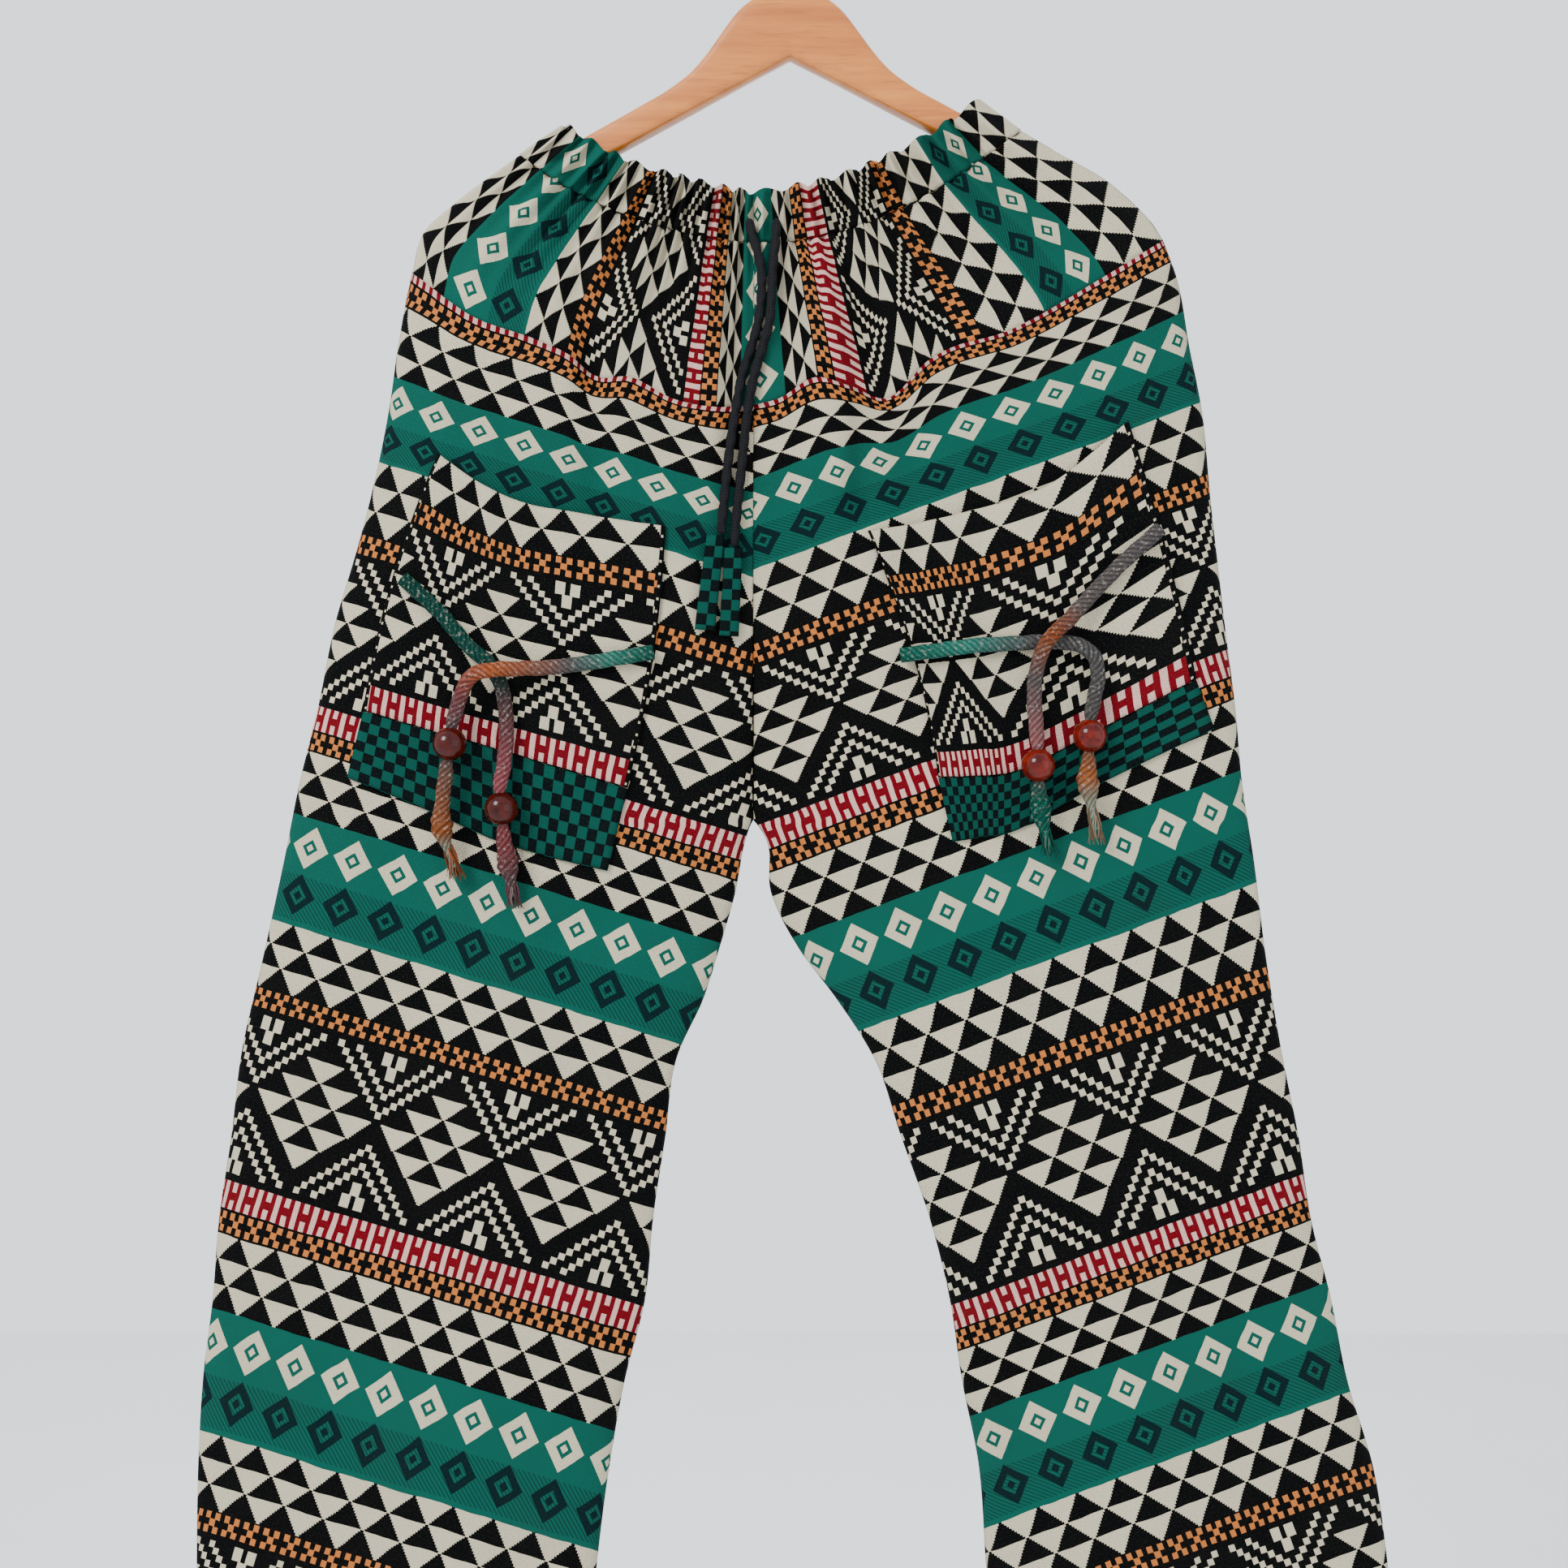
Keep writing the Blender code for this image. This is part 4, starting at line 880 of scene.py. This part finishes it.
# The four ties. Each is a folded strip of space-dyed cloth from a pocket's side seam, threaded through a glass
# bead, knotted below it and frayed at the tip.
BEAD = 0.010  # radius of a bead
BORE = 0.0033
TIES = {
    "left_outer": {
        "route": (
            (-0.2321, -0.0271, -0.4237), (-0.2209, -0.0283, -0.4336), (-0.2102, -0.0287, -0.4436),
            (-0.2006, -0.0287, -0.4547), (-0.1922, -0.0287, -0.4646), (-0.1800, -0.0288, -0.4753),
            (-0.1727, -0.0284, -0.4885), (-0.1707, -0.0280, -0.4991), (-0.1697, -0.0276, -0.5109),
            (-0.1700, -0.0279, -0.5227), (-0.1710, -0.0291, -0.5350),
        ),
        "bead": (-0.1722, -0.0311, -0.5616),
        "neck": (-0.1712, -0.0305, -0.5762), "knot": (-0.1688, -0.0293, -0.5933),
        "tip": (-0.1644, -0.0285, -0.6221),
    },
    "left_inner": {
        "route": (
            (-0.0815, -0.0286, -0.4680), (-0.1015, -0.0289, -0.4714), (-0.1234, -0.0293, -0.4749),
            (-0.1429, -0.0306, -0.4773), (-0.1595, -0.0337, -0.4783), (-0.1761, -0.0371, -0.4792),
            (-0.1873, -0.0362, -0.4817), (-0.1941, -0.0336, -0.4895), (-0.1980, -0.0320, -0.5002),
        ),
        "bead": (-0.2029, -0.0320, -0.5231),
        "neck": (-0.2053, -0.0312, -0.5400), "knot": (-0.2083, -0.0288, -0.5714),
        "tip": (-0.1990, -0.0264, -0.6055),
    },
    "right_inner": {
        "route": (
            (0.0662, -0.0276, -0.4700), (0.0774, -0.0290, -0.4685), (0.0886, -0.0293, -0.4671),
            (0.1115, -0.0298, -0.4641), (0.1301, -0.0298, -0.4632), (0.1476, -0.0296, -0.4622),
            (0.1618, -0.0293, -0.4622), (0.1739, -0.0289, -0.4641), (0.1827, -0.0286, -0.4719),
            (0.1842, -0.0291, -0.4836), (0.1817, -0.0305, -0.4963),
        ),
        "bead": (0.1788, -0.0322, -0.5182),
        "neck": (0.1783, -0.0310, -0.5320), "knot": (0.1783, -0.0291, -0.5465),
        "tip": (0.1852, -0.0264, -0.5838),
    },
    "right_outer": {
        "route": (
            (0.2222, -0.0268, -0.3939), (0.2120, -0.0280, -0.4032), (0.2013, -0.0290, -0.4125),
            (0.1895, -0.0299, -0.4241), (0.1774, -0.0318, -0.4368), (0.1657, -0.0353, -0.4495),
            (0.1535, -0.0380, -0.4612), (0.1476, -0.0357, -0.4749), (0.1457, -0.0320, -0.4904),
            (0.1466, -0.0308, -0.5060),
        ),
        "bead": (0.1481, -0.0318, -0.5358),
        "neck": (0.1486, -0.0310, -0.5480), "knot": (0.1498, -0.0291, -0.5620),
        "tip": (0.1564, -0.0267, -0.5914),
    },
}
STRIP_WIDE, STRIP_THICK = 0.0090, 0.0056
DYE_DEPTH = 0.74
DYES = {  # from the seam to the tip
    "left_outer": ((0.0, (8, 66, 56)), (0.32, (20, 74, 64)), (0.42, (60, 60, 58)), (0.68, (150, 78, 84)),
                   (0.86, (120, 62, 64)), (1.0, (78, 76, 76))),
    "left_inner": ((0.0, (8, 84, 70)), (0.12, (60, 128, 112)), (0.22, (92, 88, 88)), (0.42, (178, 92, 50)),
                   (0.54, (120, 66, 68)), (0.66, (82, 80, 80)), (0.9, (150, 84, 46)), (1.0, (96, 158, 144))),
    "right_inner": ((0.0, (10, 92, 76)), (0.18, (52, 130, 114)), (0.34, (88, 86, 86)), (0.7, (84, 80, 78)),
                    (0.85, (160, 92, 52)), (1.0, (112, 176, 160))),
    "right_outer": ((0.0, (88, 84, 84)), (0.3, (96, 88, 84)), (0.42, (142, 72, 38)), (0.55, (92, 88, 86)),
                    (0.72, (150, 92, 92)), (0.86, (10, 84, 70)), (1.0, (14, 100, 84))),
}


def space_dyed(name, stops, length):
    """Cloth dyed in patches along its length, with its long threads a little uneven."""
    finish = Finish(name, 0.95, Specular_IOR_Level=0.06)
    where, (around, along, _) = finish.place("cloth")
    spots = finish.noise(where, 90.0, 3.0)
    at = (along + (spots - 0.5) * 14.0).eased(0.0, length * 1000)
    stops = [(place, srgb(*(DYE_DEPTH * part for part in dye))) for place, dye in stops]
    colour = finish.node("ValToRGB", {"stops": stops}, {0: at})
    threads = (around * 1.5 + along * 1.6).sine()
    fuzz = finish.noise(where, 380.0, 4.0, 0.7)
    colour = finish.mixed(fuzz.eased(0.54, 0.64) * 0.4, colour, srgb(160, 154, 144))
    colour = finish.mixed(threads.eased(0.1, 0.9) * 0.55, colour, srgb(22, 22, 24))
    return finish.dyed(colour, threads * 0.5 + fuzz, 0.0008, 0.9)


def glassy(name, dark, light):
    """Polished glass, clouded a little inside."""
    finish = Finish(name, 0.16, Specular_IOR_Level=0.22)
    where, _ = finish.place()
    cloud = finish.noise(where, 160.0, 2.0)
    return finish.dyed(finish.mixed(cloud.eased(0.3, 0.75), dark, light))


def turned_bead(name, place, way, material):
    """A sphere's profile from rim to rim of its bore and back along the bore, turned about "way"."""
    rim = math.asin(BORE / BEAD)
    angle = np.linspace(rim, math.pi - rim, 33)
    radius = np.concatenate([BEAD * np.sin(angle), np.full(5, BORE), [BORE]])
    along = np.concatenate([BEAD * np.cos(angle), np.linspace(-1, 1, 7)[1:-1] * BEAD * math.cos(rim),
                            [BEAD * math.cos(rim)]])
    side = np.cross(way, (0.0, 1.0, 0.0))
    side /= np.linalg.norm(side)
    front = np.cross(way, side)
    turn = np.linspace(0, 2 * math.pi, 48, endpoint=False)
    ring = np.cos(turn)[:, None] * side + np.sin(turn)[:, None] * front
    grid = np.array(place) + radius[:, None, None] * ring[None] + along[:, None, None] * np.array(way)
    return lofted(name, grid, material, around=True)


def frayed(name, start, tip, wide, material, seed):
    """A tuft: forty thin tapered threads that leave the knot together and spread towards the tip."""
    draw = np.random.default_rng(seed)
    count, steps, sides = 40, 9, 5
    t = np.linspace(0, 1, steps)[None, :, None]
    angle, out = draw.uniform(0, 2 * math.pi, (count, 1, 1)), np.sqrt(draw.uniform(0, 1, (count, 1, 1)))
    long = draw.uniform(0.8, 1.0, (count, 1, 1))
    down = (np.array(tip) - np.array(start))
    side, front = np.array((1.0, 0, 0.0)), np.array((0.0, -1.0, 0.0))
    sway = 0.0008 * np.sin(7 * t + angle * 3)
    centre = np.array(start) + down * t * long + wide * (0.3 + 0.7 * t) * out * (
        np.cos(angle) * side + 0.6 * np.sin(angle) * front) + sway * side
    around = np.linspace(0, 2 * math.pi, sides, endpoint=False)
    ring = np.cos(around)[:, None] * side + np.sin(around)[:, None] * front
    thick = (0.0006 * (1.05 - 0.8 * t))[..., None]
    points = centre[:, :, None] + thick * ring[None, None]
    index = np.arange(count * steps * sides).reshape(count, steps, sides)
    nexts = np.roll(index, -1, axis=2)
    quads = np.stack([index[:, :-1], index[:, 1:], nexts[:, 1:], nexts[:, :-1]], -1).reshape(-1, 4).tolist()
    caps = index[:, 0].tolist() + index[:, -1, ::-1].tolist()
    mesh = bpy.data.meshes.new(name)
    mesh.from_pydata(points.reshape(-1, 3).tolist(), [], quads + caps)
    layer = mesh.uv_layers.new(name="cloth")
    corners = np.empty(len(mesh.loops), np.int64)
    mesh.loops.foreach_get("vertex_index", corners)
    uv = np.stack(np.broadcast_arrays(angle * 0.002, 0.2 + 0.0 * t), -1).reshape(count, steps, 2)
    uv = np.repeat(uv.reshape(-1, 2), sides, axis=0)[corners]
    layer.data.foreach_set("uv", uv.astype(np.float32).ravel())
    mesh.shade_smooth()
    mesh.materials.append(material)
    piece = bpy.data.objects.new(name, mesh)
    bpy.context.scene.collection.objects.link(piece)
    return piece


glass = {
    "left": glassy("dark red glass", srgb(34, 8, 5), srgb(72, 20, 12)),
    "right": glassy("red brown glass", srgb(58, 10, 7), srgb(108, 28, 17)),
}
for seed, (name, tie) in enumerate(TIES.items()):
    bead_place, neck, knot, tip = (np.array(tie[key]) for key in ("bead", "neck", "knot", "tip"))
    way = (neck - bead_place) / np.linalg.norm(neck - bead_place)
    top = math.sqrt(BEAD**2 - BORE**2)
    last = knot + 0.75 * (tip - knot)
    places = [*tie["route"], bead_place - way * (top + 0.003), bead_place, neck, knot, last]
    route, at = smooth_route(places, 220)
    stop = [at[np.argmin(np.linalg.norm(route - place, axis=1))] for place in (bead_place, neck, knot)]
    turn = np.linspace(0, 2 * math.pi, 32, endpoint=False)[None]
    near = np.exp(-(((at - stop[0]) / 0.0125) ** 4))[:, None]
    tied = np.exp(-(((at - stop[2]) / 0.0075) ** 2))[:, None]
    tail = np.clip((at - stop[2] - 0.006) / 0.01, 0, 1)[:, None]
    wide = STRIP_WIDE / 2 * (1 - near) + 0.0026 * near
    thick = STRIP_THICK / 2 * (1 - near) + 0.0026 * near
    wide = (wide * (1 - tied) + 0.0064 * tied) * (1 - 0.5 * tail)
    thick = (thick * (1 - tied) + 0.0062 * tied) * (1 - 0.5 * tail)
    groove = 1 - 0.34 * (1 - near) * (1 - tied) * (1 - np.abs(np.cos(turn))) ** 2
    wraps = 1 + 0.09 * tied * np.sin(3 * turn + (at - stop[2])[:, None] * 900)
    folds = 1 + 0.05 * np.sin(at * 420 + seed)[:, None] * np.cos(turn + at[:, None] * 60)
    grid = carried(route, wide * wraps * folds * np.sin(turn), -thick * groove * wraps * folds * np.cos(turn))
    uv = np.stack(np.broadcast_arrays(turn / (2 * math.pi) * 0.028, at[:, None]), axis=-1)
    dyed = space_dyed(f"space-dyed cloth {name}", DYES[name], float(at[-1]))
    strip = lofted(f"strip_{name}", grid, dyed, uv, around=True, capped=True)
    tuft = frayed(f"fray_{name}", knot + 0.3 * (tip - knot), tip, 0.0055, dyed, seed)
    bead = turned_bead(f"glass_{name}", bead_place, way, glass[name.split("_")[0]])
    pieces = (strip, f"tie_{name}", "tie"), (bead, f"bead_{name}", "bead"), (tuft, None, "tie")
    for piece, node, slot in pieces:
        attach(piece, "root")
        if node:
            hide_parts(node)


# The hanger is a flat varnished board with rounded edges, and a chromed wire hook rises from its neck.
HANGER = table(  # half of the hanger, which the other half mirrors
    "x top low thick",
    (0, -4, 37, 14), (10, -3.4, 42.3, 14), (18, -1.5, 46.5, 14), (26, 3, 50.7, 14), (33, 9.5, 54.4, 14),
    (42, 21.5, 59.2, 14), (51, 34, 63.9, 14), (60, 44.5, 68.7, 14), (72, 54, 75, 14), (95, 67.5, 87.2, 14),
    (125, 84, 103, 14), (165, 107, 124.1, 13), (203, 130.5, 144.2, 11), (211, 136.5, 147.6, 8),
    (215, 140.5, 148, 5),
)
HANGER_TILT = math.radians(0.6)  # the right arm stands a little higher
SECTION_SIDES = 32
EDGE_ROUND = 0.42  # power that squares the oval section and leaves its edges rounded
half = np.linspace(0, 1, 81) ** 1.1 * 215
at = np.concatenate([-half[:0:-1], half])
top, low, thick = (smooth(HANGER, "x", column, np.abs(at)) for column in ("top", "low", "thick"))
angle = np.linspace(0, 2 * math.pi, SECTION_SIDES, endpoint=False)
square = [np.sign(wave) * np.abs(wave) ** EDGE_ROUND for wave in (np.cos(angle), np.sin(angle))]
across = thick[:, None] / 2 * square[0]
down = (top + low)[:, None] / 2 + (low - top)[:, None] / 2 * square[1]
along = at[:, None] * math.cos(HANGER_TILT) + down * math.sin(HANGER_TILT)
down = down * math.cos(HANGER_TILT) - at[:, None] * math.sin(HANGER_TILT)
grid = np.stack([along * MM, across * MM, NECK_LEVEL - down * MM], -1)
varnish = Finish("varnished wood", 0.32, Coat_Weight=0.25)
where, (x, y, z) = varnish.place()
grain = varnish.noise(where, 90.0, 4.0, 0.6, stretch=(0.09, 1.0, 1.4))
pores = varnish.noise(where, 700.0, 2.0, 0.6, stretch=(0.06, 1.0, 1.0))
wood = varnish.mixed(grain.eased(0.3, 0.7), srgb(160, 86, 24), srgb(192, 114, 40))
wood = varnish.mixed(pores.eased(0.56, 0.72) * 0.4, wood, srgb(118, 62, 22))
varnished = varnish.dyed(wood, grain * 0.5 + pores * 0.3, 0.0003, 0.3)
hanger = lofted("board", grid, varnished, around=True, capped=True)
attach(hanger, "root")
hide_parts("hanger_wood")

WIRE, HOOK_RADIUS, NECK_TOP = 0.0035, 0.022, -4.0
foot = NECK_LEVEL - NECK_TOP * MM + GAP
turns = np.radians(np.linspace(-65, 205, 60))
arc = np.stack([np.cos(turns), 0 * turns, np.sin(turns)], -1) * HOOK_RADIUS + (0, 0, WIRE / 2 - HOOK_RADIUS)
lean = HOOK_RADIUS * 0.45
start = np.array((0, 0, foot + 0.006))
leave = start + (0, 0, lean)
arrive = arc[0] - lean * np.array((-math.sin(turns[0]), 0, math.cos(turns[0])))
t = np.linspace(0, 1, 20)[:-1, None]
bend = (1 - t) ** 3 * start + 3 * t * (1 - t) ** 2 * leave + 3 * t * t * (1 - t) * arrive + t**3 * arc[0]
route = np.vstack([[(0, 0, foot)], [(0, 0, foot + 0.003)], bend, arc])
turn = np.linspace(0, 2 * math.pi, 24, endpoint=False)[None]
end = np.ones((len(route), 1))
end[-3:, 0] = (0.97, 0.85, 0.5)
chrome = Finish("hook wire", 0.22, Metallic=1.0)
where, _ = chrome.place()
smear = chrome.noise(where, 220.0, 3.0)
bright = chrome.dyed(
    chrome.mixed(smear, (0.55, 0.55, 0.56), (0.75, 0.75, 0.76)), smear, 0.0001, 0.2,
    Roughness=smear * 0.2 + 0.12,
)
hook = lofted(
    "wire", carried(route, WIRE / 2 * end * np.sin(turn), -WIRE / 2 * end * np.cos(turn)), bright,
    around=True, capped=True,
)
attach(hook, "root")
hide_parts("hanger_hook")
